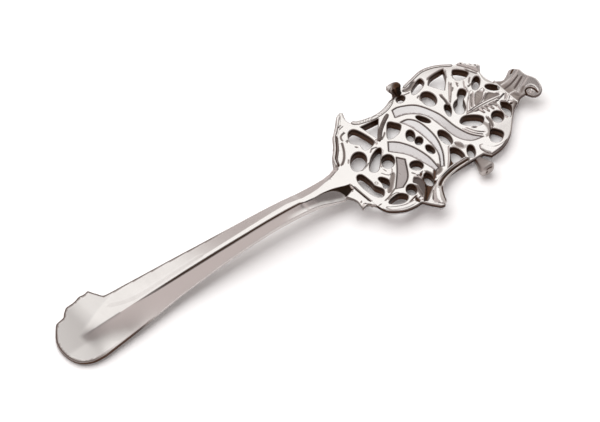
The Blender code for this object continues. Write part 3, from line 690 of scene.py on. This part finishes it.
LEFT_CREST = [(-90, 1.65), (-75, 1.5), (-65, 1.65), (-55, 2), (-50, 1.35), (-47, 1.55),
              (-44, 2.05), (-41, 3.05), (-38, 4.05), (-36, 4.75), (-34.5, 5.2)]
LEFT_SLOPE = [(-92, 0.125), (-86, 0.145), (-80, 0.17), (-75, 0.19), (-70, 0.21), (-55, 0.21),
              (-50, 0.24), (-44, 0.27), (-41, 0.3), (-38, 0.38), (-34.5, 0.35)]
RIGHT_SLOPE = [(-124, 0.125), (-110, 0.146), (-105, 0.17), (-95, 0.24), (-80, 0.27), (-57, 0.28),
               (-52, 0.31), (-48, 0.35), (-44, 0.36), (-41, 0.36)]
WEDGE = [(-50, 0.1), (-44, 0.25), (-42, 0.4), (-41, 0.6), (-40, 1), (-39.2, 1.6), (-38.6, 2.6),
         (-38.2, 4.2), (-34.5, 5)]
HANDLE_STROKES = [
    ([(-113, 5), (-108, 2.7), (-103, 2.05), (-92, 1.95), (-84, 1.95)], 0.9, -0.01, 0.05),
]


def read(table, x):
    """A value that changes with place, from a table of the places where it is known."""
    places, values = zip(*table)
    return np.interp(x, places, values)


def arch(x):
    """Height of the ridge along the handle."""
    share = held(1 + (x - NECK_END) / HANDLE_LENGTH)
    neck = fret_top(NECK_END, 0)
    return HANDLE_THICKNESS + (neck - HANDLE_THICKNESS) * share + ARCH_RISE * np.sin(np.pi * share ** 2)


def handle_face(x, y, reach):
    """Left of the ridge a narrow strip and one facet that turns away towards the neck; right of it a steep
    step and one facet. The ridge runs out on a flat pad; the neck has a steep wedge on its right."""
    ridge, crest = read(RIDGE, x), read(LEFT_CREST, x)
    step_width, left_slope = read(STEP_WIDTH, x), read(LEFT_SLOPE, x)
    left, right = np.maximum(0, y - ridge), np.maximum(0, ridge - y)
    past_crest = np.maximum(0, y - np.maximum(ridge, crest))
    fold = np.maximum(1, 1 + FOLD_SPREAD * (x - PAD_END))
    left_drop = np.maximum(STRIP_SLOPE * (left - past_crest) + left_slope * past_crest,
                           RIDGE_HEIGHT * held(left / fold))
    left_drop = np.minimum(left_drop, RIDGE_HEIGHT + 2 * smooth((x + 113) / 10))
    step = np.minimum(right, step_width)
    wedge = read(WEDGE, x) - right
    right_drop = read(STEP_SLOPE, x) * step + read(RIGHT_SLOPE, x) * (right - step)
    right_drop += 0.35 * smooth(wedge) * np.minimum(1, right / 0.4) * smooth((x + 44) / 4)
    ease = held(right / 8.5)
    right_drop += smooth((-104 - x) / 12) * (RIDGE_HEIGHT * ease * (2 - ease) - right_drop)
    share = held((x - PAD_END) / PAD_RUN)
    share = share * share / (share + 0.1) * 1.1
    height = arch(x) - RIDGE_HEIGHT + share * (2 - share) * (RIDGE_HEIGHT - left_drop - right_drop)
    height += 0.02 * np.maximum(0, right - 2.5) * smooth((-117 - x) / 6)
    bend = np.clip(-117 - x, 0, 5)
    height -= PAD_TILT * (0.1 * bend ** 2 + np.maximum(0, -122 - x))
    height += 0.12 * np.clip(1.3 - reach, 0, 1.3) * smooth((x + 64) / 12) * smooth(right - 1.2)
    joined = smooth((x + 40) / 5.5) * held(1 - 2 * right)
    height += joined * (fret_top(NECK_END, y - past_crest) + 0.05 - height - left_slope * past_crest)
    height, soil_and_shade = chased(height, 0, HANDLE_STROKES, x, y)
    # Painted shade: a dark outline along the edge that grows towards the pad, a dark wedge on the neck's
    # right, a dark line in the step and a dark line past the left crest near the neck
    outline = (0.15 + 0.6 * smooth((-72 - x) / 6)) * np.where(y > 0, 1, smooth((-116 - x) / 12))
    painted_step_line = held(1 - np.abs(right / np.maximum(0.1, step_width) - 0.5) * 2.4)
    soil_and_shade = np.maximum.reduce([
        soil_and_shade, outline * hump(reach - 0.3, 0.22) * (x < -35.5),
        smooth(wedge / 0.35 + 0.5) * smooth((x + 50) / 6) * smooth(right / 0.15),
        np.sqrt(painted_step_line) * smooth((x + 106) / 12) * (x < -50.6),
        0.7 * hump(past_crest - 0.2, 0.22) * smooth((x + 41) / 4) * (past_crest > 0)])
    return height - round_edge(np.where(x > -34.9, 1, reach), np.where(y > 0, 0.3, 0.12)), soil_and_shade


# The neck's end meets the bowl and flares on its left; the scalloped lobes are rounded off and moved out
handle_loop = outlines("handle")[0]
edge_x, edge_y = handle_loop.T
edge_x[edge_x > -34.7] = -34.45
neck_left = (edge_y > 3) & (edge_x < NECK_END) & (edge_x > -44)
edge_y[neck_left] += 0.6 * hump(edge_x[neck_left] + 36.2, 2.2)
lobed = (smooth((-111.2 - edge_x) / 2.2) * smooth((edge_y - 7) / 1.5))[:, None]
for _ in range(10):
    midway = (np.roll(handle_loop, 1, 0) + np.roll(handle_loop, -1, 0)) / 2
    handle_loop += 0.5 * lobed * (midway - handle_loop)
handle_loop += lobed * LOBE_SHIFT
off_edge = gauge([handle_loop])


def handle_back(x, y):
    """The underside follows the arch and is eased at its edges."""
    eased = np.exp(-off_edge(np.column_stack([x, y])) / 0.7) * (x < -36)
    return arch(x) - HANDLE_THICKNESS + BACK_EASE * eased


# Mesh points along the ridge, the step, the left crest, the fold of the pad, the wedge and across the pad
places = np.arange(-124, -34.6, 0.4)
ridge, step, crest = (read(table, places) for table in (RIDGE, STEP_WIDTH, LEFT_CREST))
creases = [np.column_stack([places, line]) for line in (
    ridge, ridge - step, ridge - step / 2, crest, crest + 0.2, crest + 0.45,
    ridge + 1 + FOLD_SPREAD * (places - PAD_END))]
places = np.arange(-48, -34.6, 0.2)
creases += [np.column_stack([places, read(RIDGE, places) - share * read(WEDGE, places) + gap])
            for share, gap in ((1, 0.15), (1, -0.15), (0.6, 0), (0.3, 0), (0, -0.15))]
creases.append(walked(np.array([(-119.5, -8), (-119.5, 12)]), 0.5))
handle_shape = relief(
    [handle_loop], handle_face, handle_back, 0.6, seeds=creases + tracks(HANDLE_STROKES), soil_and_shade=0.2)
handle_points, _, handle_stain_and_shade = handle_shape
# Painted shade: the side wall towards the pad's end is darkened
wall = off_edge(handle_points[:, :2]) < TOUCH
handle_stain_and_shade[wall] += 0.6 * smooth((-102 - handle_points[wall, 0]) / 14)
handle_stain_and_shade[handle_points[:, 0] > -34.9] = 0
handle = cast("ridged_handle", handle_shape, polished_silver("handle_silver", turn=0), 14)
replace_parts(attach(handle, "root"), "handle")


# Heel tab: a small scroll cast in silver and soldered into the corner between neck and bowl, with a slit
# left open beside the bowl, sunk and painted dark as shade, and a wavy outer edge.
HEEL_FOOT = 1.3
HEEL_STROKES = [
    ([(-36.4, -3.9), (-35.6, -3.2), (-34.9, -2.9)], 0.22, -0.3),
    ([(-37.6, -9.2), (-36.9, -8.6)], 0.28, -0.3),
    ([(-38.2, -10.8), (-36.8, -10), (-35.4, -11.2)], 0.3, 0.2),
]


def heel_face(x, y, reach):
    """The tab swells a little and falls off at the slit."""
    base = fret_top(x, y) - round_edge(reach) + 0.1 * smooth(reach / 1.4)
    height, stain = chased(base, 0, HEEL_STROKES, x, y)
    # Painted shade: the slit is painted dark, and a dark outline runs along the edge
    slit = held((x + 35.1) / 0.5) * (y > -10.2)
    outline = 0.75 * hump(reach, 0.16) * ((x < -35.4) | (y > -10.2))
    return height - 0.8 * slit, np.maximum.reduce([stain, 0.9 * slit, outline])


heel_loop = outlines("heel_tab")[0]
heel_loop[(heel_loop[:, 0] > -35.3) & (heel_loop[:, 1] < -9), 0] += 0.35
heel_tab = cast(
    "heel_scroll",
    relief([heel_loop], heel_face, lambda x, y: dish(x, y) + HEEL_FOOT, 0.3, seeds=tracks(HEEL_STROKES),
           soil_and_shade=0.45, draft=0.4),
    polished_silver("heel_silver"))
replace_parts(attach(heel_tab, "root"), "heel_tab")


# Horn leaf: a narrow leaf cast in silver, bevelled outwards, that runs out into the horn. It is soldered on
# the fret along the scalloped left edge.
HORN_LINE = [(-33.3, 6.9), (-32.2, 9.4), (-31, 10.7), (-29.7, 12.1), (-28.5, 13.7), (-27.5, 15.2),
             (-26.6, 16.3), (-25.2, 17.5), (-23.2, 19.4), (-21.3, 21.4), (-20.2, 22.4)]
HORN_BEVEL = [(-0.7, 0), (-0.6, -0.05), (-0.35, -0.2), (-0.1, 0.2), (0.05, 0.28), (0.3, 0.2), (0.7, -0.25)]
FINE_RIMS = (0.06, 0.16)
SOLDER_DEPTH = 0.5


def strip(points, width):
    """Outline of a strip along a line, narrowed at both ends."""
    step, tail = 0.3, 0.35
    line = spline(points, step)
    run = np.minimum(np.arange(len(line)), np.arange(len(line))[::-1]) * step
    half = width / 2 * (tail + (1 - tail) * held(run / width) ** 0.5)[:, None]
    aside = half * leftward(np.gradient(line, axis=0))
    return np.vstack([line - aside, (line + aside)[::-1]])


def sunk_foot(x, y):
    """Where an ornament's underside lies: a little below the fret's face, as solder leaves no gap."""
    return fret_top(x, y) - SOLDER_DEPTH


def band(points, width, section, step, soil_and_shade, rims=RIMS):
    """A strip along a line on the fret. Its section gives the rise over the fret and the stain, from how far
    a point lies along the line and to its left, the line's length and the distance to the strip's edge."""
    line = spline(points, 0.1)

    def face(x, y, reach):
        rise, stain = section(*beside(x, y, line), reach)
        return fret_top(x, y) + rise, stain

    return relief([strip(points, width)], face, sunk_foot, step, rims, soil_and_shade=soil_and_shade)


def horn_section(along, aside, length, reach):
    fade = held((length - along) / 5)
    # Painted shade: a dark outline along the outer edge and round the end; the dark line in the groove is
    # tarnish
    stain = 0.95 * hump(aside + 0.35, 0.24) * fade + 0.75 * hump(aside - 0.68, 0.16)
    return 0.05 + read(HORN_BEVEL, aside) * fade, np.maximum(stain, 0.7 * np.exp(-reach / 0.15) * (1 - fade))


horn_leaf = cast(
    "horn_leaf_strip",
    band(HORN_LINE, 1.4, horn_section, 0.16, 0.3, FINE_RIMS),
    polished_silver("horn_silver"))
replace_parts(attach(horn_leaf, "root"), "horn_leaf")


# Left rim wire: a silver wire drawn to a moulding of three reeds, bent along the hollow of the upper left
# rim and soldered on the fret.
LEFT_WIRE = [(-19, 18.35), (-17.6, 17.55), (-16, 17.1), (-11.5, 16.6), (-7, 17.25), (-3, 19)]
REED = 0.45
REED_RISE = 0.08


def wire(points, reeds):
    """A drawn wire of parallel reeds along a line."""

    def section(along, aside, length, reach):
        place = aside / REED + reeds / 2
        valley = np.abs(place - np.round(place))
        # The valleys between the reeds hold tarnish; the dark outline along the wire's edges is painted
        # shade
        return (0.05 + REED_RISE * held(valley * 5),
                np.maximum(0.35 * held(1 - valley * 6), 0.85 * hump(reach, 0.16)))

    return band(points, reeds * REED, section, 0.15, 0.7, FINE_RIMS)


left_wire = cast("left_reeded_wire", wire(LEFT_WIRE, 3), polished_silver("left_wire_silver"))
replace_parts(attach(left_wire, "root"), "left_rim_wire")


# Top rim wire: the same drawn silver moulding with two reeds, bent along the arch of the upper rim and
# soldered on the fret.
TOP_WIRE = [(2.6, 20.85), (6.5, 21.75), (11, 22.55), (15.5, 21.5), (19.8, 18.9)]

top_wire = cast("top_reeded_wire", wire(TOP_WIRE, 2), polished_silver("top_wire_silver"))
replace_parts(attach(top_wire, "root"), "top_rim_wire")


# Upper knob: a scroll cast in silver that stands on the upper rim, waisted below and rolled into a ribbed
# cap above. Its foot is soldered into the fret.
KNOB_HEIGHT = 3

# Rings from the foot up: share of the height, half width, half depth, middle and stain
KNOB_RINGS = [
    (0, 1.8, 0.95, -0.45, 20.05, 0.63), (0.15, 1.6, 0.85, -0.5, 20.15, 0.83),
    (0.35, 1.6, 0.85, -0.6, 20.4, 0.83), (0.55, 1.9, 1, -0.75, 20.75, 0.79),
    (0.72, 2.25, 1.25, -0.85, 21.1, 0.73), (0.84, 2.4, 1.4, -0.9, 21.3, 0.65),
    (0.93, 2.3, 1.35, -0.95, 21.4, 0.58), (0.98, 1.9, 1.1, -1, 21.45, 0.55),
    (1, 1.2, 0.65, -1.05, 21.45, 0.58), (1, 0.4, 0.2, -1.05, 21.45, 0.61),
]


def loft(rings, stain_and_shade_rings):
    """A round body through rings of equally many points, closed at both ends."""
    count = len(rings[0])
    vertices = np.vstack(list(rings) + [rings[0].mean(0), rings[-1].mean(0)])
    faces = []
    for k in range(len(rings) - 1):
        for i in range(count):
            j = (i + 1) % count
            faces.append((k * count + i, k * count + j, (k + 1) * count + j, (k + 1) * count + i))
    last = (len(rings) - 1) * count
    faces += [((i + 1) % count, i, len(vertices) - 2) for i in range(count)]
    faces += [(last + i, last + (i + 1) % count, len(vertices) - 1) for i in range(count)]
    return vertices, faces, np.concatenate(list(stain_and_shade_rings) + [[stain_and_shade_rings[0].mean(), stain_and_shade_rings[-1].mean()]])


turn = np.linspace(0, 2 * np.pi, 64, endpoint=False)


def squared(power):
    """Radius of a squarish ring of half width 1 at every turn; a higher power is squarer."""
    return (np.abs(np.cos(turn)) ** power + np.abs(np.sin(turn)) ** power) ** (-1 / power)


knob_foot = fret_top(-0.5, 20.05) - 0.4
reeds = 0.05 * np.cos(turn * 11) * held(-np.cos(turn) * 2)
notches = hump(turn - 4.3, 0.16) + hump(turn - 4.9, 0.16)
knob_rings, knob_stain_and_shade = [], []
for share, across, deep, x, y, stain in spline(KNOB_RINGS, 0.12):
    notch = notches * held(1 - abs(share - 0.9) * 12)
    radius = squared(2.6) * (1 + reeds - 0.08 * notch)
    knob_rings.append(np.column_stack([x + across * radius * np.cos(turn), y + deep * radius * np.sin(turn),
                                       np.full(len(turn), knob_foot + KNOB_HEIGHT * share)]))
    # Painted shade: each ring is made darker on one side by turn
    shaded = 0.36 * np.cos(turn + 0.5) * min(1, across)
    knob_stain_and_shade.append(held(stain + shaded - 4 * reeds + 0.6 * notch))
upper_knob = cast(
    "upper_scroll_knob", loft(knob_rings, knob_stain_and_shade), polished_silver("upper_knob_silver"), 50)
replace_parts(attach(upper_knob, "root"), "upper_knob")


# Shell crest: a small domed shell cast in silver, with a row of pits along its back. It is soldered on the
# bowl's shoulder before the tip.
SHELL_PITS = [
    ([(22, 17.9), (22, 17.5)], 0.34, -0.2, 0.8), ([(23, 17), (23, 16.6)], 0.34, -0.2, 0.8),
    ([(24, 16), (24.1, 15.6)], 0.34, -0.2, 0.8), ([(24.9, 14.8), (24.9, 14.3)], 0.36, -0.2, 0.9),
]


def shell_face(x, y, reach):
    return chased(fret_top(x, y) + 0.3 + 0.2 * smooth(reach / 0.9), 0.05, SHELL_PITS, x, y)


shell = cast(
    "shell_crest_cast",
    relief(outlines("shell_crest"), shell_face, sunk_foot, 0.2, seeds=tracks(SHELL_PITS), soil_and_shade=0.25),
    polished_silver("shell_silver"))
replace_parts(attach(shell, "root"), "shell_crest")


# Tip volute: a heavy silver casting soldered to the bowl's end. It carries on the bowl's line, is fluted
# along its upper side and rolls into a spiral with a raised eye at its lower corner.
TIP_THINNED = 1.75
VOLUTE_STROKES = [
    ([(25.6, 6.2), (29, 5.8), (31.3, 6.4)], 0.5, 0.1), ([(32.3, 5.9), (30.6, 5.2)], 0.35, -0.2, 0.85),
    ([(33.4, 5), (30.8, 4.2), (28.6, 3.9), (25.8, 4.1)], 0.42, 0.09),
    ([(31.9, 3.3), (28.5, 2.5), (26, 2.4)], 0.4, -0.18, 0.62),
    ([(32.4, 2.1), (30.1, 1.3), (28, 0.5)], 0.55, -0.18, 0.6),
    ([(34.3, 1), (32.9, 0.8), (30.9, 0.1), (29.6, -0.5), (28.2, -1.1), (27.3, -1.3)], 0.5, 0.1),
    ([(30.6, -0.9), (29.4, -1.5), (28.2, -2.2)], 0.6, -0.12, 0.45),
    ([(30.2, -1.6), (30.9, -1.7), (31.8, -2), (32.2, -3.4), (31.9, -5.4)], 0.42, 0.11),
    ([(29.1, -4), (29.3, -3.1), (29.9, -2.3), (30.9, -2.4), (31.5, -3.2), (31.7, -4.4), (31.5, -5.8)],
     0.32, -0.35, 0.95),
    ([(30.8, -3.3), (30.4, -4.5)], 0.8, 0.4),
    ([(27.6, -0.4), (26.2, -0.1), (25.1, -0.3)], 0.42, 0.11),
    ([(26.6, -1.2), (27.2, -2.4)], 1.1, -0.15, 0.5),
]


def volute_face(x, y, reach):
    edge = np.where(x < 25.9, 2, reach)
    base = fret_top(x, y) - round_edge(edge, 0.5) + 0.05
    # Painted shade: darker near the casting's root than out towards the end, with a dark outline along the
    # free edge
    height, stain = chased(base, 0.44 - 0.3 * smooth((x - 26) / 5), VOLUTE_STROKES, x, y)
    return height, np.maximum(stain, 0.75 * hump(edge, 0.2))


def volute_back(x, y):
    """The underside is filed thin towards the free edge."""
    thin = np.exp(-tip_edge(np.column_stack([x, y])) / 1.2) * smooth((x - 25.6) / 1.5)
    return dish(x, y) + TIP_THINNED * thin


tip_loop = outlines("tip_volute")[0]
tip_loop[tip_loop[:, 0] < 25.7, 0] -= 0.25
tip_edge = gauge([tip_loop])
tip_shape = relief(
    [tip_loop], volute_face, volute_back, 0.3, seeds=tracks(VOLUTE_STROKES), soil_and_shade=0.5, under_step=0.8)
tip_x, _, tip_z = tip_shape[0].T
tip_shape[2][(tip_x < 25.6) & (tip_z > 2)] = 0
tip_volute = cast("tip_volute_cast", tip_shape, polished_silver("tip_silver", gloss=0.12))
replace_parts(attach(tip_volute, "root"), "tip_volute")


# Lip scroll: a crescent cast in silver with a round back and a deep line inside it. It is soldered on the
# lower right rim.
LIP_STROKES = [
    ([(5.9, -9.8), (6.7, -10.2), (7.2, -11.6), (7.9, -12.7), (9, -13.1), (10.4, -13.4)], 0.34, -0.25, 0.6),
]


def lip_face(x, y, reach):
    # Painted shade: a dark outline along the crescent's edge; the deep line holds tarnish
    height, stain = chased(fret_top(x, y) + 0.32 * np.sqrt(held(reach)), 0, LIP_STROKES, x, y)
    return height, np.maximum(stain, 0.9 * hump(reach, 0.2))


lip = cast(
    "lip_scroll_cast",
    relief(outlines("lip_scroll"), lip_face, sunk_foot, 0.25, seeds=tracks(LIP_STROKES), soil_and_shade=0.6),
    polished_silver("lip_silver"))
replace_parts(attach(lip, "root"), "lip_scroll")


# Lower knob: a cornet cast in silver and soldered into the seat of the lower rim. It widens outwards, and
# its mouth is rolled in around a spiral.
CORNET_SEAT = (1.8, -13.7)
CORNET_LIFT = 1.3
CORNET_RUN = (-1.2, -5.7, 1.2)

# Rings from the seat outwards: share of the run, half width, half depth and stain
CORNET_RINGS = [
    (0, 1.35, 1.05, 0.55), (0.12, 1.4, 1.05, 0.5), (0.3, 1.7, 1.2, 0.41), (0.55, 2.2, 1.6, 0.37),
    (0.78, 2.55, 1.95, 0.35), (0.92, 2.5, 2, 0.35), (1, 2.2, 1.75, 0.35), (1.06, 1.6, 1.25, 0.37),
    (1.09, 0.9, 0.7, 0.4), (1.1, 0.3, 0.25, 0.4),
]
cornet_foot = np.array([*CORNET_SEAT, dish(*CORNET_SEAT) + CORNET_LIFT])
cornet_rings, cornet_stain = [], []
for share, across, deep, stain in spline(CORNET_RINGS, 0.12):
    slot = hump(np.angle(np.exp(1j * (turn - 0.45))), 0.28, 4) * held(1.5 - 6 * abs(share - 0.62))
    curl = hump(turn - 1.5, 0.7, 4) * hump(across - 1.5, 0.2) * (share > 1)
    curl += hump(turn - 2.9, 0.6, 4) * hump(across - 0.9, 0.2) * (share > 1)
    pinch = hump(turn - 2.5, 0.2) * held(1 - share)
    radius = squared(2.4) * (1 - 0.1 * slot - 0.12 * pinch)
    x, y, z = cornet_foot + share * np.array(CORNET_RUN)
    cornet_rings.append(np.column_stack([
        x + across * radius * np.cos(turn), np.full(len(turn), y), z + deep * radius * np.sin(turn)]))
    cornet_stain.append(held(stain + 0.8 * slot + 0.6 * curl + 0.5 * pinch))
lower_knob = cast(
    "lower_cornet_knob", loft(cornet_rings, cornet_stain),
    polished_silver("lower_knob_silver", gloss=0.16), 50)
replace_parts(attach(lower_knob, "root"), "lower_knob")


# Rim rib: a rib cast in silver and soldered along the lower rim, with a bright round edge, a dark channel
# and a lower lip. It ends in the leaf point.
RIB_LINE = [(-19.2, -23.3), (-17.6, -20.2), (-15.6, -17), (-13.8, -15.2), (-11.2, -13.8), (-6.6, -12.6),
            (-0.6, -12.2)]
RIB_PROFILE = [(-1.1, -0.1), (-1, 0.1), (-0.85, 0.14), (-0.7, 0.1), (-0.4, -0.3), (0.1, -0.3), (0.35, 0.1),
               (0.6, 0.34), (0.8, 0.38), (1, 0.25), (1.1, 0)]
LEAF_PROFILE = [(-1.1, -0.2), (-0.9, 0.05), (-0.5, 0.2), (1.1, 0.12)]


def rib_section(along, aside, length, reach):
    profile = read(RIB_PROFILE, aside)
    leaf = smooth((9.5 - along) / 2)
    channel, border = hump(aside + 0.15, 0.42, 4), hump(aside + 0.9, 0.4)
    # The channel holds tarnish; the leaf point is made a little darker, with painted shade along its outer
    # edge
    stain = np.maximum(0.24 * leaf, 0.95 * np.maximum((1 - leaf) * channel, leaf * border))
    return profile + leaf * (read(LEAF_PROFILE, aside) - profile), stain


rim_rib = cast(
    "grooved_rim_rib", band(RIB_LINE, 2.2, rib_section, 0.18, 0.3), polished_silver("rim_rib_silver"))
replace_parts(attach(rim_rib, "root"), "rim_rib")


# Curl scroll: a band cast in silver with a round back, which lies along the lower left rim. It is soldered
# on the fret.
CURL_LINE = [(-33, -14.6), (-32, -16), (-28.6, -17.4), (-25.9, -17.4), (-24.4, -16.9)]


def curl_section(along, aside, length, reach):
    # Painted shade: a faint dark outline along the band's edge
    return 0.22 * smooth(reach / 0.6), 0.3 * np.exp(-reach / 0.1)


curl = cast("curl_scroll_band", band(CURL_LINE, 2, curl_section, 0.25, 0.5), polished_silver("curl_silver"))
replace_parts(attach(curl, "root"), "curl_scroll")


# Leaf spray: a leaf cast in silver and soldered on the fret before the tip, with a double midrib, a fan of
# ribs to the left and short teeth to the right.
SPRAY_STROKES = [
    ([(11, 2), (14.2, 2.3), (18.8, 2.3), (23.1, 1.5)], 0.28, 0.3),
    ([(13.6, 1.1), (17.5, 0.8), (22.1, 0.2)], 0.28, 0.3),
    ([(12.6, 1.6), (17.6, 1.55), (22.6, 0.9)], 0.26, -0.15, 0.4),
    ([(14, 2.6), (17.8, 7.2)], 0.26, 0.3), ([(12.6, 2.6), (14.5, 4.8), (15.9, 7)], 0.26, 0.3),
    ([(17, 2.6), (20.6, 4.6)], 0.3, 0.32), ([(19.3, 6.9), (20.3, 5.5), (21.4, 6.4)], 0.26, 0.25),
    ([(15, 1), (15.2, -1)], 0.3, 0.3), ([(16.3, 0.9), (16.7, -1.5)], 0.3, 0.3),
    ([(17.8, 0.6), (18.3, -1.6)], 0.3, 0.3), ([(19.2, 0.3), (19.9, -1.5)], 0.3, 0.3),
]
# Hollowed panels between the ribs: an outline, a depth and a soil, which paints shade into them
SPRAY_PANELS = [
    ([(14.8, 2.9), (18.3, 6.9), (19.8, 6.4), (20.2, 5.2), (17, 2.9)], 0.28, 0.42),
    ([(17.7, 2.6), (20.9, 4.4), (22.4, 3.3), (23.4, 1.8), (19, 2.6)], 0.28, 0.46),
    ([(13.2, 2.8), (16.2, 6.9), (17.4, 6.9), (14.1, 2.9)], 0.25, 0.4),
    ([(15.4, 0.8), (15.8, -0.9), (19.8, -1), (20.8, 0.2), (17.8, 0.5)], 0.2, 0.38),
]


def spray_face(x, y, reach):
    hollow, soil_and_shade = panelled(x, y, SPRAY_PANELS)
    return chased(fret_top(x, y) + 0.1 + 0.27 * smooth(reach / 0.4) - hollow, soil_and_shade, SPRAY_STROKES, x, y)


leaf_spray = cast(
    "ribbed_leaf_spray",
    relief(outlines("leaf_spray"), spray_face, sunk_foot, 0.22, seeds=tracks(SPRAY_STROKES), soil_and_shade=0.4),
    polished_silver("spray_silver"))
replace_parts(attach(leaf_spray, "root"), "leaf_spray")


# Centre vein: a ribbed strip of twisted silver wire, browned with use. It is soldered across the openwork
# near the neck.
VEIN_LINE = [(-16.6, 8.4), (-13.4, 11.7), (-10.2, 14), (-7.6, 15.5)]


def vein_section(along, aside, length, reach):
    twist = np.abs(((along + aside * 1.2) / 0.8) % 1 - 0.5) * 2
    return 0.1 + 0.3 * np.sqrt(held(reach / 0.6)) - 0.16 * twist ** 3, 0.5 + 0.3 * twist ** 4


vein = cast(
    "twisted_centre_vein", band(VEIN_LINE, 1.3, vein_section, 0.16, 0.8), polished_silver("vein_silver"))
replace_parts(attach(vein, "root"), "centre_vein")


# Table, studio light and camera: a smooth white table top that the spoon lies on, a pale studio that the
# silver mirrors, and one soft lamp above the table.
TABLE_GAP = 0.0002
TABLE_GLOW = (0.1, 0.1, 0.1, 1)
BLACK = (0, 0, 0, 1)
ROOM_TONE = (1, 0.88, 0.86, 1)
WINDOW_TONE = (1, 0.985, 0.97, 1)
TO_TIP = (1, 0, 0)
TO_LEFT = (0, 1, 0)
TO_WINDOW = (0.848, 0.424, -0.318)
OVERHEAD = (0.16, 0.06, 0.985)
LAMP_AT = (-0.1, 0.55, 0.9)
LAMP_SIDE = 1.7
LAMP_POWER = 18.6
CAMERA_AT = (-0.3035, -0.3209, 0.4388)
CAMERA_TO = (-0.0532, 0.0028, 0)
LENS = 128.5

table_mesh = bpy.data.meshes.new("table_top")
table_mesh.from_pydata([(-3, -3, 0), (3, -3, 0), (3, 3, 0), (-3, 3, 0)], [], [(0, 1, 2, 3)])
table_top = placed("table_top", table_mesh)
table_top.location.z = -TABLE_GAP
table_paint = bpy.data.materials.new("white_table")
table_paint.use_nodes = True
paint = Shade(table_paint.node_tree)
table_mesh.materials.append(table_paint)
table_inputs = table_paint.node_tree.nodes["Principled BSDF"].inputs
table_inputs["Base Color"].default_value = (0.9, 0.9, 0.9, 1)
table_inputs["Roughness"].default_value = 0.9
table_inputs["Specular IOR Level"].default_value = 0
table_inputs["Emission Strength"].default_value = 1

# The table glows a little only where it is seen, straight or in a mirror, and lights nothing
seen = (paint.node("ShaderNodeLightPath", output="Is Camera Ray")
        + paint.node("ShaderNodeLightPath", output="Is Glossy Ray"))
feed(seen.held().blend(BLACK, TABLE_GLOW), table_inputs["Emission Color"])

world = bpy.data.worlds.new("pale_studio")
bpy.context.scene.world = world
world.use_nodes = True
sky = Shade(world.node_tree)
aim = sky.node("ShaderNodeTexCoord", output="Generated")


def facing(direction, stops):
    """How much a direction counts, through a ramp over its cosine from -1 to 1."""
    cosine = sky.node("ShaderNodeVectorMath", {"operation": "DOT_PRODUCT"}, {0: aim, 1: direction}, "Value")
    stops = [((1 + place) / 2, (value, value, value, 1)) for place, value in stops]
    return sky.node("ShaderNodeValToRGB", {"stops": stops}, {0: 0.5 + 0.5 * cosine})


side = facing(TO_LEFT, [
    (-1, 0.55), (-0.66, 0.55), (-0.57, 0.02), (-0.5, 0.02), (-0.2, 0.1), (0.1, 0.18), (0.6, 0.18),
    (0.78, 0.45), (1, 0.53)])
ends = facing(TO_TIP, [(-1, 0.55), (-0.62, 0.55), (-0.47, 0), (0.87, 0), (0.93, 0.55), (1, 0.55)])
lit_from = facing(TO_WINDOW, [(-1, 0), (0.1, 0), (0.2, 1), (1, 1)])
lit_side = facing(TO_LEFT, [(-1, 0), (0.1, 0), (0.28, 1), (0.735, 1), (0.785, 0), (1, 0)])
overhead = facing(OVERHEAD, [(-1, 0), (0.86, 0), (0.97, 0.36), (1, 0.36)])
room = (side + ends + overhead).held().blend(BLACK, ROOM_TONE)
backdrop = world.node_tree.nodes["Background"].inputs["Color"]
feed((lit_from * lit_side).held().blend(room, WINDOW_TONE), backdrop)

lamp = bpy.data.lights.new("soft_box", "AREA")
lamp.shape = "RECTANGLE"
lamp.size = LAMP_SIDE
lamp.size_y = LAMP_SIDE
lamp.energy = LAMP_POWER
soft_box = placed("soft_box", lamp)
soft_box.location = LAMP_AT
soft_box.visible_glossy = False
soft_box.rotation_euler = (-Vector(LAMP_AT)).to_track_quat("-Z", "Y").to_euler()

camera = bpy.data.cameras.new("camera")
camera.lens = LENS
camera.sensor_width = 36
view = placed("camera", camera)
view.location = CAMERA_AT
view.rotation_euler = (Vector(CAMERA_TO) - Vector(CAMERA_AT)).to_track_quat("-Z", "Y").to_euler()
bpy.context.scene.camera = view
bpy.context.scene.view_settings.view_transform = "Standard"
